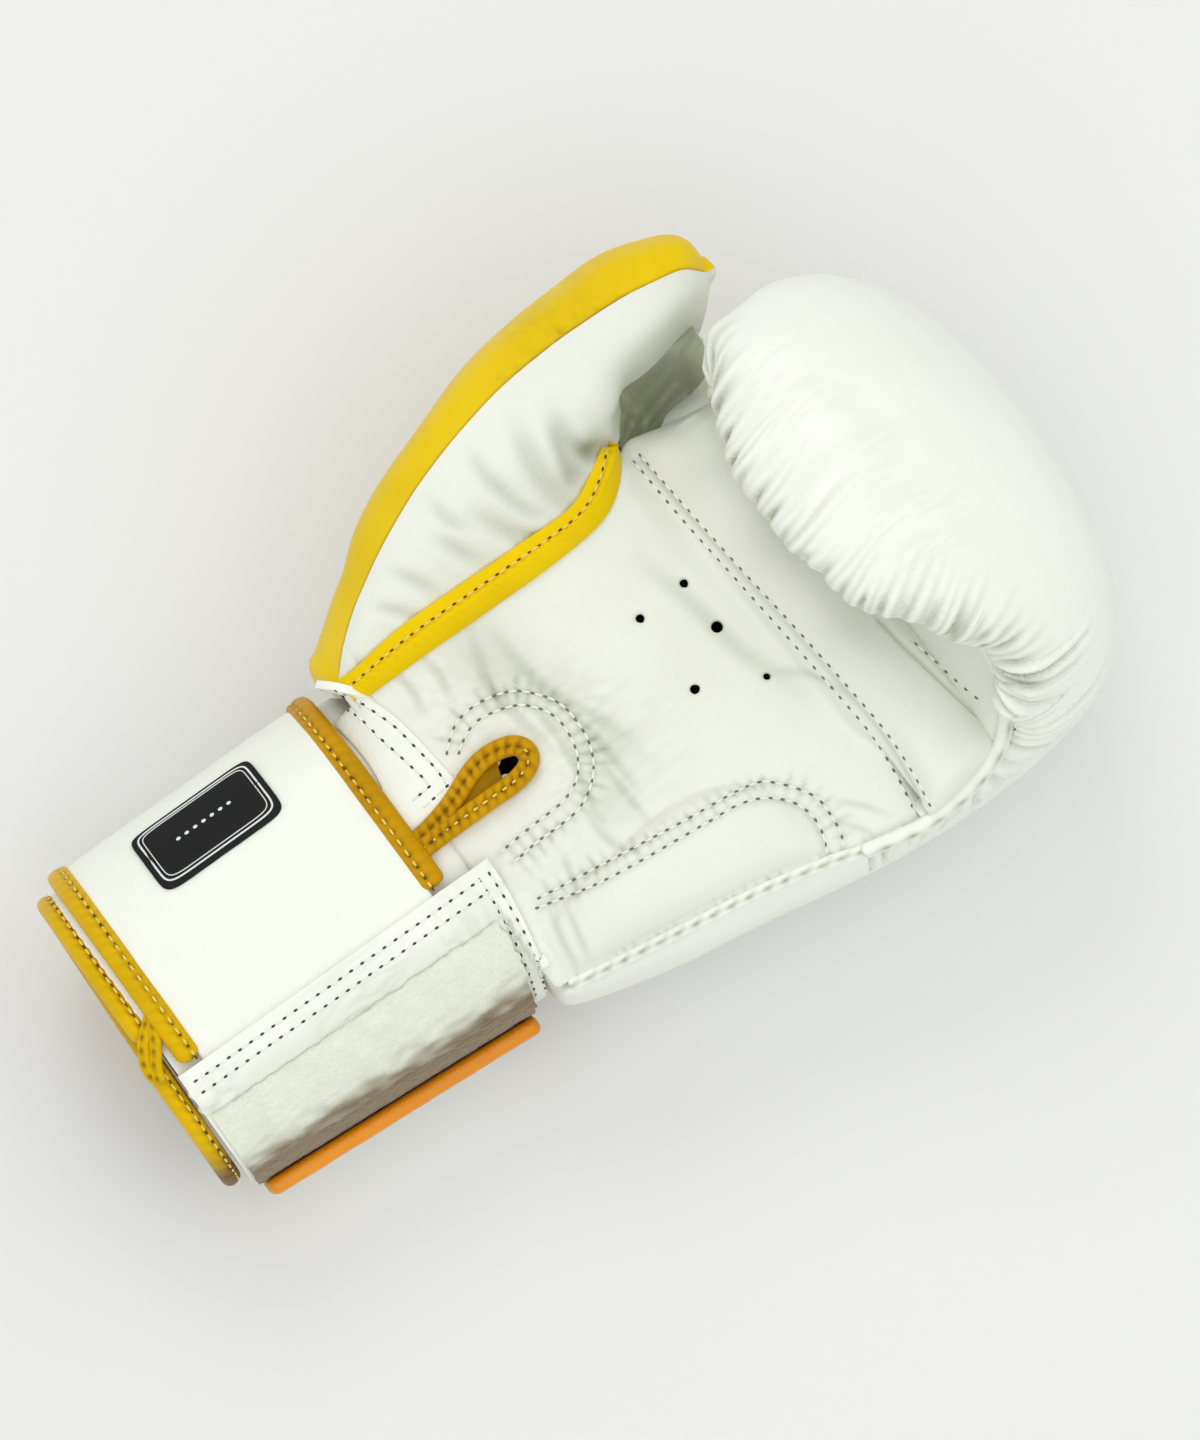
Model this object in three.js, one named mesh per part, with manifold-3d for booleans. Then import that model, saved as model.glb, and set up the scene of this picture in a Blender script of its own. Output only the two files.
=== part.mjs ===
// A boxing glove for the left hand. It lies on its back, palm up, with its wrist strap closed.
// Millimetres. +Y runs from the cuff to the knuckles, +X to the little finger's side, +Z up.
import * as THREE from 'three';
import Module from 'manifold-3d';

const wasm = await Module();
wasm.setup();

// Driving dimensions of the hand
const GLOVE_LENGTH = 293;        // rim of the cuff to the front of the knuckles
const MITT_WIDTH = 139;          // across the curled fingers
const FOLD_HEIGHT = 84;          // table to the fold that the fingers curl round
const KNUCKLE_REACH = 67;        // fold to the front of the knuckles
const BACK_PADDING = 26;         // foam over the back of the hand
const KNUCKLE_PADDING = 31;      // foam over the knuckles
const SIDE_PADDING = 14;         // foam along the sides of the hand
const SEAM_THICKNESS = 3.5;      // foam and leather pinched in a seam
const LIP_TURN = 174;            // degrees that the fingers turn round the fold, at the middle
const LIP_DIP = 40;              // degrees that the little finger's end stays short of that
const THUMB_LIP_DIP = 4.8;        // degrees that the forefinger's end stays short of it
const LIP_ROLL = 82;             // degrees that the lip rolls over to its seam
const TABLE_DENT = 1.5;          // how much the back is pressed flat where it lies
const SECTION_POWER = 2.4;       // superellipse power of the padded sections

// Driving dimensions of the palm and the grip bar
const LEATHER = 3;               // panel of leather with its backing
const PALM_RISE = 7;             // palm over its level at the wrist
const GRIP_BAR_WIDTH = 32;
const GRIP_BAR_HEIGHT = 24;
const GRIP_BAR_LIFT = 9;         // top of the bar over the palm
const GRIP_BAR_BEFORE_FOLD = 23.04; // near edge of the bar to the fold
const HEEL_PAD_HEIGHT = 5;
const VENT_DIAMETER = 2.7;
const SLIT_WIDTH = 1.6;
const SLIT_AT_RIM = 3.5;         // slit to the middle of the cuff, towards the little finger
const SLIT_AT_END = -0.6;        // the same at the teardrop
const TEARDROP_RADIUS = 2.6;
const TEARDROP_END = 25;         // middle of the teardrop beyond the end of the cuff

// Driving dimensions of the thumb
const THUMB_LENGTH = 148;        // its base at the cuff to its tip
const THUMB_PADDING = 9;
const THUMB_BINDING_WIDTH = 9.6;
const THUMB_BINDING_THICKNESS = 2.6;
const THUMB_BINDING_FROM = 0.03; // shares of the hand's length
const THUMB_BINDING_TO = 0.775;

// Driving dimensions of the cuff and the strap
const CUFF_LENGTH = 101.2;
const CUFF_WIDTH = 98;
const CUFF_HEIGHT = 65;
const CUFF_LEVEL = 40;           // middle of the cuff over the table
const CUFF_WALL = 4.5;
const RIM_TAPER = 7;             // how much narrower the rim is on the little finger's side
const CUFF_POWER = 2.3;
const RIM_WIDTH = 6.5;
const RIM_THICKNESS = 6.5;
const STRAP_START = 9.5;         // rim to the near edge of the strap
const STRAP_WIDTH = 85;
const STRAP_THICKNESS = 3;
const STRAP_END_ANGLE = 352;     // degrees round the cuff, from the little finger's side over the palm
const ROOT_OVERLAP = 6;          // degrees of the strap's root under the flap's edge
const FLAP_UNDERLAP = 38;        // degrees of the flap under the strap's free end
const PATCH_UNDERLAP = 28;       // degrees of the loop patch under it
const BINDING_WIDTH = 5.8;
const BINDING_THICKNESS = 4.6;
const FLAP_EDGE = 17.5;          // middle of the cuff to the free edge of the flap
const FLAP_THICKNESS = 2.2;
const FLAP_OVERLAP = 5.5;        // reach of the flap's corner over the palm
const FLAP_SETBACK = 4;          // the flap's far edge to the end of the cuff, at the side
const PATCH_EDGE = 31;           // middle of the cuff to the loop patch
const PATCH_THICKNESS = 1.7;
const LABEL_LENGTH = 39;
const LABEL_WIDTH = 26;
const LABEL_THICKNESS = 0.9;
const LABEL_ANGLE = 131;         // degrees round the cuff

const GAP = 0.3;                 // clearance between neighbouring pieces

const HALF_MITT = MITT_WIDTH / 2;
const HAND_START = CUFF_LENGTH + GAP;
const FOLD_Y = GLOVE_LENGTH - KNUCKLE_REACH;
const HAND_LENGTH = FOLD_Y - HAND_START;

// Rows of numbers as records, whose names stand over the columns
function table(columns, ...rows) {
  const names = columns.split(' ');
  return rows.map((row) => Object.fromEntries(names.map((name, k) => [name, row[k]])));
}

// Sections of the padded shell between the cuff and the fold. "along" is a share of the hand's
// length, "out" the widest place of a side, "low" its depth, "seam" the edge of a side and "pad"
// the padding. Widths are shares of half the mitt's width, depths are shares of the fold's height.
const HAND_SECTIONS = table(
  'along deep rightOut rightLow rightSeam rightSeamLow leftOut leftLow leftSeam leftSeamLow pad',
  [0.00, 0.940, 0.825, 0.42, 0.800, 0.215, 0.815, 0.54, 0.808, 0.475, 0.70],
  [0.11, 0.980, 0.885, 0.43, 0.840, 0.180, 0.870, 0.54, 0.860, 0.465, 0.85],
  [0.27, 1.000, 0.950, 0.45, 0.890, 0.155, 0.925, 0.54, 0.918, 0.465, 1.00],
  [0.47, 1.000, 1.005, 0.45, 0.950, 0.130, 0.940, 0.54, 0.932, 0.465, 1.00],
  [0.63, 1.000, 1.065, 0.43, 1.020, 0.107, 0.920, 0.53, 0.905, 0.440, 1.00],
  [0.75, 1.000, 1.105, 0.41, 1.075, 0.095, 0.890, 0.52, 0.850, 0.360, 1.05],
  [0.86, 1.000, 1.135, 0.39, 1.095, 0.107, 0.865, 0.48, 0.765, 0.190, 1.10],
  [1.00, 1.000, 1.150, 0.38, 1.065, 0.143, 0.865, 0.43, 0.720, 0.143, 1.20],
);

// Sections of the shell round the fold. "turn" is in degrees from straight down. "deep" and the
// levels are shares of the knuckles' reach, widths are shares of half the mitt's width.
const CURL_SECTIONS = table(
  'turn deep rightOut rightLow rightSeam rightSeamLow leftOut leftLow leftSeam leftSeamLow pad',
  [0, 1.276, 1.150, 0.48, 1.065, 0.18, 0.865, 0.54, 0.720, 0.18, 0.89],
  [30, 1.275, 1.150, 0.42, 1.050, 0.18, 0.870, 0.45, 0.705, 0.18, 0.97],
  [60, 1.105, 1.145, 0.36, 1.035, 0.19, 0.885, 0.36, 0.705, 0.19, 1.00],
  [90, 0.998, 1.135, 0.33, 1.020, 0.21, 0.910, 0.33, 0.690, 0.21, 0.97],
  [120, 0.905, 1.095, 0.33, 0.990, 0.24, 0.925, 0.36, 0.700, 0.24, 0.84],
  [150, 0.835, 1.020, 0.36, 0.935, 0.30, 0.920, 0.42, 0.710, 0.28, 0.70],
  [180, 0.775, 0.950, 0.40, 0.880, 0.36, 0.890, 0.46, 0.720, 0.33, 0.60],
);

// Sections of the thumb. "along" is a share of the thumb's length from its base, x a share of
// half the mitt's width towards the thumb's side, z a share of the fold's height over the table.
// edge: lower edge at the shell, under: underside, out: outermost, shoulder, ridge: seam between
// the two thumb panels, crest: top of the inner panel, sewn: seam with the palm, mid: middle.
const THUMB_SECTIONS = table(
  'along edgeX edgeZ underX underZ outX outZ shoulderX shoulderZ '
    + 'ridgeX ridgeZ crestX crestZ sewnX sewnZ midX midZ',
  [0.000, 0.808, 0.548, 0.842, 0.62, 0.850, 0.69, 0.828, 0.79,
    0.763, 0.862, 0.700, 0.880, 0.630, 0.875, 0.60, 0.60],
  [0.104, 0.862, 0.548, 0.950, 0.63, 0.993, 0.77, 0.970, 0.92,
    0.860, 1.010, 0.760, 1.005, 0.605, 0.930, 0.62, 0.70],
  [0.250, 0.925, 0.545, 1.070, 0.65, 1.165, 0.81, 1.130, 1.05,
    0.975, 1.165, 0.800, 1.110, 0.600, 0.978, 0.72, 0.80],
  [0.375, 0.940, 0.545, 1.130, 0.66, 1.255, 0.84, 1.220, 1.10,
    1.065, 1.225, 0.850, 1.180, 0.600, 0.995, 0.82, 0.86],
  [0.520, 0.915, 0.560, 1.150, 0.66, 1.345, 0.87, 1.310, 1.12,
    1.135, 1.250, 0.900, 1.215, 0.612, 1.005, 0.92, 0.88],
  [0.640, 0.860, 0.640, 1.140, 0.65, 1.375, 0.89, 1.338, 1.13,
    1.160, 1.250, 0.935, 1.235, 0.720, 1.000, 1.02, 0.90],
  [0.730, 0.840, 0.790, 1.110, 0.65, 1.382, 0.90, 1.338, 1.13,
    1.165, 1.238, 0.950, 1.200, 0.830, 0.830, 1.08, 0.92],
  [0.830, 0.875, 0.820, 1.140, 0.68, 1.400, 0.93, 1.345, 1.12,
    1.160, 1.214, 0.975, 1.160, 0.870, 0.835, 1.11, 0.94],
  [0.910, 0.945, 0.870, 1.150, 0.75, 1.370, 0.95, 1.300, 1.11,
    1.135, 1.165, 1.020, 1.110, 0.940, 0.885, 1.12, 0.96],
  [0.965, 1.010, 0.920, 1.140, 0.82, 1.310, 0.965, 1.245, 1.075,
    1.105, 1.105, 1.045, 1.055, 1.006, 0.932, 1.12, 0.975],
  [1.000, 1.062, 0.960, 1.105, 0.925, 1.170, 0.98, 1.145, 1.025,
    1.090, 1.035, 1.068, 1.005, 1.060, 0.966, 1.10, 0.985],
);

// Air holes in the palm: shares of half the mitt's width and of the hand's length
const VENTS = table(
  'across along',
  [-0.183, 0.731],
  [-0.170, 0.610],
  [0.030, 0.734],
  [0.298, 0.752],
  [0.178, 0.613],
);

// Outline of the heel pad on the palm: "inner" is its edge towards the middle of the palm
const HEEL_ROWS = table(
  'along inner high',
  [0.05, 0.60, 0.15],
  [0.12, 0.545, 0.60],
  [0.25, 0.520, 0.90],
  [0.40, 0.500, 1.00],
  [0.52, 0.540, 0.90],
  [0.60, 0.640, 0.60],
  [0.645, 0.800, 0.15],
);

const clamp = THREE.MathUtils.clamp;
const degrees = THREE.MathUtils.degToRad;
const smooth = THREE.MathUtils.smoothstep;
const mix = THREE.MathUtils.lerp;

// All columns of a table at one place between its rows, on smooth curves through them
function sectionAt(rows, key, place) {
  let upper = 1;
  while (upper < rows.length - 1 && rows[upper][key] < place) upper += 1;
  const before = rows[Math.max(upper - 2, 0)];
  const from = rows[upper - 1];
  const to = rows[upper];
  const after = rows[Math.min(upper + 1, rows.length - 1)];
  const span = to[key] - from[key];
  const t = clamp((place - from[key]) / span, 0, 1);
  const result = {};
  for (const name of Object.keys(from)) {
    const startSlope = (to[name] - before[name]) / (to[key] - before[key]) * span;
    const endSlope = (after[name] - from[name]) / (after[key] - from[key]) * span;
    const t2 = t * t;
    const t3 = t2 * t;
    result[name] = from[name] * (2 * t3 - 3 * t2 + 1) + to[name] * (3 * t2 - 2 * t3)
      + startSlope * (t3 - 2 * t2 + t) + endSlope * (t3 - t2);
  }
  return result;
}

// A closed slab between two grids of points with the same rows and columns
function slab(outer, inner) {
  const rowCount = outer.length;
  const columnCount = outer[0].length;
  const points = [...outer.flat(), ...inner.flat()];
  const half = rowCount * columnCount;
  const faces = [];
  const quad = (a, b, c, d) => faces.push(a, b, c, a, c, d);
  const id = (side, row, column) => side * half + row * columnCount + column;
  for (let row = 0; row < rowCount - 1; row += 1) {
    for (let column = 0; column < columnCount - 1; column += 1) {
      const [below, beside] = [row + 1, column + 1];
      quad(id(0, row, column), id(0, below, column), id(0, below, beside), id(0, row, beside));
      quad(id(1, row, column), id(1, row, beside), id(1, below, beside), id(1, below, column));
    }
    const last = columnCount - 1;
    quad(id(0, row, 0), id(1, row, 0), id(1, row + 1, 0), id(0, row + 1, 0));
    quad(id(0, row, last), id(0, row + 1, last), id(1, row + 1, last), id(1, row, last));
  }
  for (let column = 0; column < columnCount - 1; column += 1) {
    const last = rowCount - 1;
    quad(id(0, 0, column), id(0, 0, column + 1), id(1, 0, column + 1), id(1, 0, column));
    quad(id(0, last, column), id(1, last, column), id(1, last, column + 1), id(0, last, column + 1));
  }
  return closedGeometry(points, faces);
}

// A closed bar: rings of points, each a closed section, with a flat cap at both ends
function bar(rings) {
  const size = rings[0].length;
  const points = rings.flat();
  const faces = [];
  for (let ring = 0; ring < rings.length - 1; ring += 1) {
    for (let k = 0; k < size; k += 1) {
      const next = (k + 1) % size;
      const a = ring * size;
      const b = a + size;
      faces.push(a + k, b + k, b + next, a + k, b + next, a + next);
    }
  }
  const endStart = (rings.length - 1) * size;
  for (const [first, turned] of [[0, false], [endStart, true]]) {
    const middle = new THREE.Vector3();
    for (let k = 0; k < size; k += 1) middle.addScaledVector(points[first + k], 1 / size);
    const centre = points.push(middle) - 1;
    for (let k = 0; k < size; k += 1) {
      const next = (k + 1) % size;
      if (turned) faces.push(centre, first + next, first + k);
      else faces.push(centre, first + k, first + next);
    }
  }
  return closedGeometry(points, faces);
}

// Indexed geometry whose faces point out
function closedGeometry(points, faces) {
  let volume = 0;
  const cross = new THREE.Vector3();
  for (let f = 0; f < faces.length; f += 3) {
    cross.crossVectors(points[faces[f + 1]], points[faces[f + 2]]);
    volume += points[faces[f]].dot(cross);
  }
  const index = [];
  for (let f = 0; f < faces.length; f += 3) {
    if (volume > 0) index.push(faces[f], faces[f + 1], faces[f + 2]);
    else index.push(faces[f], faces[f + 2], faces[f + 1]);
  }
  const geometry = new THREE.BufferGeometry();
  const positions = points.flatMap((point) => point.toArray());
  geometry.setAttribute('position', new THREE.Float32BufferAttribute(positions, 3));
  geometry.setIndex(index);
  return geometry;
}

function toSolid(geometry) {
  return new wasm.Manifold(new wasm.Mesh({
    numProp: 3,
    vertProperties: new Float32Array(geometry.attributes.position.array),
    triVerts: new Uint32Array(geometry.index.array),
  }));
}

function toGeometry(solid) {
  const mesh = solid.getMesh();
  const geometry = new THREE.BufferGeometry();
  const positions = [];
  for (let v = 0; v < mesh.vertProperties.length; v += mesh.numProp) {
    positions.push(mesh.vertProperties[v], mesh.vertProperties[v + 1], mesh.vertProperties[v + 2]);
  }
  geometry.setAttribute('position', new THREE.Float32BufferAttribute(positions, 3));
  geometry.setIndex([...mesh.triVerts]);
  return geometry;
}

// The same piece grown by the clearance, as a tool that cuts its neighbours back
function grown(geometry, clearance = GAP) {
  const copy = geometry.clone();
  copy.computeVertexNormals();
  const position = copy.attributes.position;
  const normal = copy.attributes.normal;
  for (let v = 0; v < position.count; v += 1) {
    position.setXYZ(
      v,
      position.getX(v) + normal.getX(v) * clearance,
      position.getY(v) + normal.getY(v) * clearance,
      position.getZ(v) + normal.getZ(v) * clearance,
    );
  }
  return toSolid(copy);
}

function cutBack(geometry, ...tools) {
  let solid = toSolid(geometry);
  for (const tool of tools) solid = solid.subtract(tool);
  return toGeometry(solid);
}

function boxSolid(from, to) {
  const geometry = new THREE.BoxGeometry(to.x - from.x, to.y - from.y, to.z - from.z);
  geometry.translate((from.x + to.x) / 2, (from.y + to.y) / 2, (from.z + to.z) / 2);
  return toSolid(welded(geometry));
}

// Position-only copy of a geometry with its shared vertices merged
function welded(geometry) {
  const position = geometry.attributes.position;
  const order = geometry.index ? [...geometry.index.array] : [...Array(position.count).keys()];
  const seen = new Map();
  const points = [];
  const faces = order.map((v) => {
    const point = new THREE.Vector3().fromBufferAttribute(position, v);
    const key = point.toArray().map((value) => value.toFixed(4)).join();
    if (!seen.has(key)) seen.set(key, points.push(point) - 1);
    return seen.get(key);
  });
  return closedGeometry(points, faces);
}

// Padded shell

// Half of a section: from the middle of the back (0) to the widest place (1) to the seam (2)
function halfSection(share, middle, out, low, seam, seamLow, deep) {
  if (share <= 1) {
    const angle = share * Math.PI / 2;
    const power = 2 / SECTION_POWER;
    return {
      x: middle + (out - middle) * Math.sin(angle) ** power,
      depth: low + (deep - low) * Math.max(Math.cos(angle), 0) ** power,
    };
  }
  const angle = (share - 1) * Math.PI / 2;
  return {
    x: seam + (out - seam) * Math.cos(angle),
    depth: low - (low - seamLow) * Math.sin(angle),
  };
}

// A point of a section: side -2 to 2 from the thumb's seam over the back to the other seam
function shellSection(row, depthScale, side, inside) {
  const right = side >= 0;
  const pinch = inside ? SEAM_THICKNESS : 0;
  const sidePad = inside ? SIDE_PADDING : 0;
  const sign = right ? 1 : -1;
  const out = HALF_MITT * (right ? row.rightOut : row.leftOut) - sidePad;
  const low = depthScale * (right ? row.rightLow : row.leftLow);
  const seam = HALF_MITT * (right ? row.rightSeam : row.leftSeam) - pinch;
  const seamLow = depthScale * (right ? row.rightSeamLow : row.leftSeamLow) + pinch;
  const deep = depthScale * row.deep - (inside ? row.padding : 0);
  const middle = sign * HALF_MITT * (row.rightOut - row.leftOut) / 2;
  const point = halfSection(Math.abs(side), middle, out, low, seam, seamLow, deep);
  return { x: sign * point.x, depth: point.depth };
}

function handPoint(along, side, inside) {
  const row = sectionAt(HAND_SECTIONS, 'along', along);
  row.padding = row.pad * BACK_PADDING;
  const point = shellSection(row, FOLD_HEIGHT, side, inside);
  const dent = TABLE_DENT * smooth(along, 0.05, 0.3) * smooth(point.depth, 0.9 * FOLD_HEIGHT, FOLD_HEIGHT);
  return new THREE.Vector3(
    point.x,
    HAND_START + along * HAND_LENGTH,
    FOLD_HEIGHT - point.depth - (inside ? 0 : dent),
  );
}

function curlPoint(turn, side, inside) {
  const row = sectionAt(CURL_SECTIONS, 'turn', turn);
  row.padding = row.pad * KNUCKLE_PADDING;
  const start = FOLD_HEIGHT / (KNUCKLE_REACH * CURL_SECTIONS[0].deep);
  const scale = KNUCKLE_REACH * mix(start, 1, smooth(turn, 0, 75));
  const point = shellSection(row, scale, side, inside);
  const angle = degrees(turn);
  const dent = TABLE_DENT * (1 - smooth(turn, 8, 25)) * smooth(point.depth, 0.9 * FOLD_HEIGHT, FOLD_HEIGHT);
  return new THREE.Vector3(
    point.x,
    FOLD_Y + point.depth * Math.sin(angle),
    FOLD_HEIGHT - point.depth * Math.cos(angle) - (inside ? 0 : dent),
  );
}

// How far one column of the shell turns round the fold
function lipTurn(side) {
  const x = curlPoint(150, side, false).x;
  const littleFinger = smooth(x, 0.25 * HALF_MITT, 1.1 * HALF_MITT);
  const thumbSide = smooth(-x, 0.35 * HALF_MITT, 0.85 * HALF_MITT);
  return LIP_TURN - LIP_DIP * littleFinger - THUMB_LIP_DIP * thumbSide;
}

const SHELL_SIDES = [-2, -1.75, -1.5, -1.25, -1.05, -0.92, -0.8, -0.68, -0.56, -0.44, -0.3, -0.15, 0,
  0.15, 0.3, 0.44, 0.56, 0.68, 0.8, 0.92, 1.05, 1.25, 1.5, 1.75, 2];
const HAND_STEPS = 10;
const CURL_STEPS = 12;
const LIP_STEPS = 4;

function shellGrid(inside) {
  const rows = [];
  for (let step = 0; step < HAND_STEPS; step += 1) {
    rows.push(SHELL_SIDES.map((side) => handPoint(step / HAND_STEPS, side, inside)));
  }
  for (let step = 0; step <= CURL_STEPS; step += 1) {
    rows.push(SHELL_SIDES.map((side) => curlPoint(step / CURL_STEPS * lipTurn(side), side, inside)));
  }
  // the lip rolls over to its seam in a half round
  for (let step = 1; step <= LIP_STEPS; step += 1) {
    const roll = degrees(LIP_ROLL * step / LIP_STEPS);
    rows.push(SHELL_SIDES.map((side) => {
      const turn = lipTurn(side);
      const skin = curlPoint(turn, side, false);
      const lining = curlPoint(turn, side, true);
      const middle = skin.clone().add(lining).multiplyScalar(0.5);
      const face = (inside ? lining : skin).clone().sub(middle);
      const ahead = new THREE.Vector3(0, Math.cos(degrees(turn)), Math.sin(degrees(turn)));
      const radius = face.length();
      return middle.add(face.multiplyScalar(Math.cos(roll))).addScaledVector(ahead, radius * Math.sin(roll));
    }));
  }
  return rows;
}

const tableCut = boxSolid(
  new THREE.Vector3(-MITT_WIDTH, 0, -FOLD_HEIGHT),
  new THREE.Vector3(MITT_WIDTH, GLOVE_LENGTH, 0),
);

// Palm

function palmEdges(y) {
  const along = clamp((y - HAND_START) / HAND_LENGTH, 0, 1);
  const row = sectionAt(HAND_SECTIONS, 'along', along);
  const thumb = thumbAt(y);
  return {
    left: -thumb.sewnX + GAP,
    leftZ: thumb.sewnZ,
    right: HALF_MITT * row.rightSeam - 1.5 * GAP,
    rightZ: FOLD_HEIGHT * (1 - row.rightSeamLow),
  };
}

function palmTop(x, y) {
  const edges = palmEdges(y);
  const share = clamp((x - edges.left) / (edges.right - edges.left), 0, 1);
  const rise = PALM_RISE * smooth(y, HAND_START, HAND_START + 0.3 * HAND_LENGTH);
  const wristLevel = CUFF_LEVEL + CUFF_HEIGHT / 2 - GAP;
  const level = wristLevel + rise;
  const edge = mix(edges.leftZ, edges.rightZ, share);
  const hold = Math.sin(Math.PI * share) ** 0.6;
  return mix(edge, level, hold);
}

const GRIP_BAR_START = FOLD_Y - GRIP_BAR_BEFORE_FOLD;
const PALM_END = GRIP_BAR_START - GAP;
const PALM_ROWS = 13;
const PALM_COLUMNS = 12;

function palmGrid(inside) {
  const rows = [];
  for (let i = 0; i <= PALM_ROWS; i += 1) {
    const y = mix(HAND_START, PALM_END, i / PALM_ROWS);
    const edges = palmEdges(y);
    const inset = inside ? LEATHER : 0;
    const row = [];
    for (let k = 0; k <= PALM_COLUMNS; k += 1) {
      const x = mix(edges.left + inset * 0.3, edges.right - inset, k / PALM_COLUMNS);
      row.push(new THREE.Vector3(x, y, palmTop(x, y) - inset));
    }
    rows.push(row);
  }
  return rows;
}

// Upright cylinder that cuts a hole through the palm
function drill(x, y, radius) {
  const geometry = new THREE.CylinderGeometry(radius, radius, FOLD_HEIGHT, 10);
  geometry.rotateX(Math.PI / 2);
  geometry.translate(x, y, FOLD_HEIGHT);
  return toSolid(welded(geometry));
}

// Where the slit is across the glove: it leans from the rim to the teardrop
function slitAt(y) {
  return mix(SLIT_AT_RIM, SLIT_AT_END, y / (HAND_START + TEARDROP_END));
}

// Slit and teardrop, cut straight down through the palm
function slitTools() {
  const end = HAND_START + TEARDROP_END;
  const low = CUFF_LEVEL + CUFF_HEIGHT / 6;
  const high = CUFF_LEVEL + 2 * CUFF_HEIGHT;
  const rings = [-CUFF_LENGTH, end].map((y) => {
    const left = slitAt(y) - SLIT_WIDTH / 2;
    const right = slitAt(y) + SLIT_WIDTH / 2;
    const corners = [[left, low], [right, low], [right, high], [left, high]];
    return corners.map(([x, z]) => new THREE.Vector3(x, y, z));
  });
  return [toSolid(bar(rings)), drill(slitAt(end), end, TEARDROP_RADIUS)];
}

function ventTools() {
  return VENTS.map((vent) => drill(
    vent.across * HALF_MITT,
    HAND_START + vent.along * HAND_LENGTH,
    VENT_DIAMETER / 2,
  ));
}

// Thumb

const THUMB_START = HAND_START;

// Section of the thumb at one place along the glove, in millimetres
function thumbAt(y) {
  const row = sectionAt(THUMB_SECTIONS, 'along', clamp((y - THUMB_START) / THUMB_LENGTH, 0, 1));
  const result = {};
  for (const [name, share] of Object.entries(row)) {
    result[name] = share * (name.endsWith('X') ? HALF_MITT : FOLD_HEIGHT);
  }
  return result;
}

const THUMB_ROWS = 18;
const THUMB_OUTER_COLUMNS = 10;
const THUMB_INNER_COLUMNS = 6;

function thumbGrid(names, columnCount, thickness, inside) {
  const rows = [];
  for (let i = 0; i <= THUMB_ROWS; i += 1) {
    const share = i / THUMB_ROWS;
    const eased = share + 0.1 * Math.sin(Math.PI * share);
    const y = THUMB_START + THUMB_LENGTH * eased;
    const section = thumbAt(y);
    const nodes = names.map((name) => new THREE.Vector2(-section[`${name}X`], section[`${name}Z`]));
    const curve = new THREE.SplineCurve(nodes);
    const trim = GAP / curve.getLength();
    const middle = new THREE.Vector2(-section.midX, section.midZ);
    const row = [];
    for (let k = 0; k <= columnCount; k += 1) {
      const point = curve.getPointAt(clamp(mix(trim, 1 - trim, k / columnCount), 0, 1));
      if (inside) {
        const towards = middle.clone().sub(point);
        const depth = Math.min(thickness, 0.75 * towards.length());
        point.add(towards.setLength(depth));
      }
      row.push(new THREE.Vector3(point.x, y, point.y));
    }
    rows.push(row);
  }
  return rows;
}

const OUTER_NAMES = ['edge', 'under', 'out', 'shoulder', 'ridge'];
const INNER_NAMES = ['ridge', 'crest', 'sewn'];

function thumbPanel(names, columnCount, thickness) {
  return slab(
    thumbGrid(names, columnCount, thickness, false),
    thumbGrid(names, columnCount, thickness, true),
  );
}

// Binding that covers the seam between the palm and the thumb
function thumbBinding() {
  const rings = [];
  const steps = 22;
  const start = HAND_START + THUMB_BINDING_FROM * HAND_LENGTH;
  const end = HAND_START + THUMB_BINDING_TO * HAND_LENGTH;
  for (let i = 0; i <= steps; i += 1) {
    const y = mix(start, end, i / steps);
    const section = thumbAt(y);
    const curve = new THREE.SplineCurve(INNER_NAMES.map(
      (name) => new THREE.Vector2(-section[`${name}X`], section[`${name}Z`]),
    ));
    const reach = 0.5 * THUMB_BINDING_WIDTH;
    const high = curve.getPointAt(clamp(1 - reach / curve.getLength(), 0, 1));
    const seam = new THREE.Vector2(-section.sewnX, section.sewnZ);
    const lowX = seam.x + reach;
    const low = new THREE.Vector2(lowX, palmTop(lowX, y));
    const lift = 2.5 * GAP;
    const top = lift + THUMB_BINDING_THICKNESS * (i === 0 || i === steps ? 0.6 : 1);
    const ring = [
      [low, lift], [seam, lift], [high, lift],
      [high, mix(lift, top, 0.6)], [high.clone().lerp(seam, 0.25), top], [seam, top],
      [low.clone().lerp(seam, 0.25), top], [low, mix(lift, top, 0.6)],
    ];
    rings.push(ring.map(([point, up]) => new THREE.Vector3(point.x, y, point.y + up)));
  }
  return bar(rings);
}

// Strip of leather that ties the thumb to the mitt
function thumbWeb() {
  const outer = [];
  const inner = [];
  const steps = 6;
  const start = PALM_END + 2 * GAP;
  const end = HAND_START + 1.02 * HAND_LENGTH;
  for (let i = 0; i <= steps; i += 1) {
    const y = mix(start, end, i / steps);
    const section = thumbAt(y);
    const fold = curlPoint(0, -1.6, false);
    const from = new THREE.Vector2(-section.sewnX + 1.5, 0.84 * FOLD_HEIGHT);
    const to = new THREE.Vector2(fold.x + 3, 0.86 * FOLD_HEIGHT);
    const row = [0, 0.25, 0.5, 0.75, 1].map((share) => from.clone().lerp(to, share));
    outer.push(row.map((point) => new THREE.Vector3(point.x, y, point.y)));
    inner.push(row.map((point) => new THREE.Vector3(point.x, y, point.y - LEATHER)));
  }
  return slab(outer, inner);
}

// Grip bar and finger panel

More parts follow.
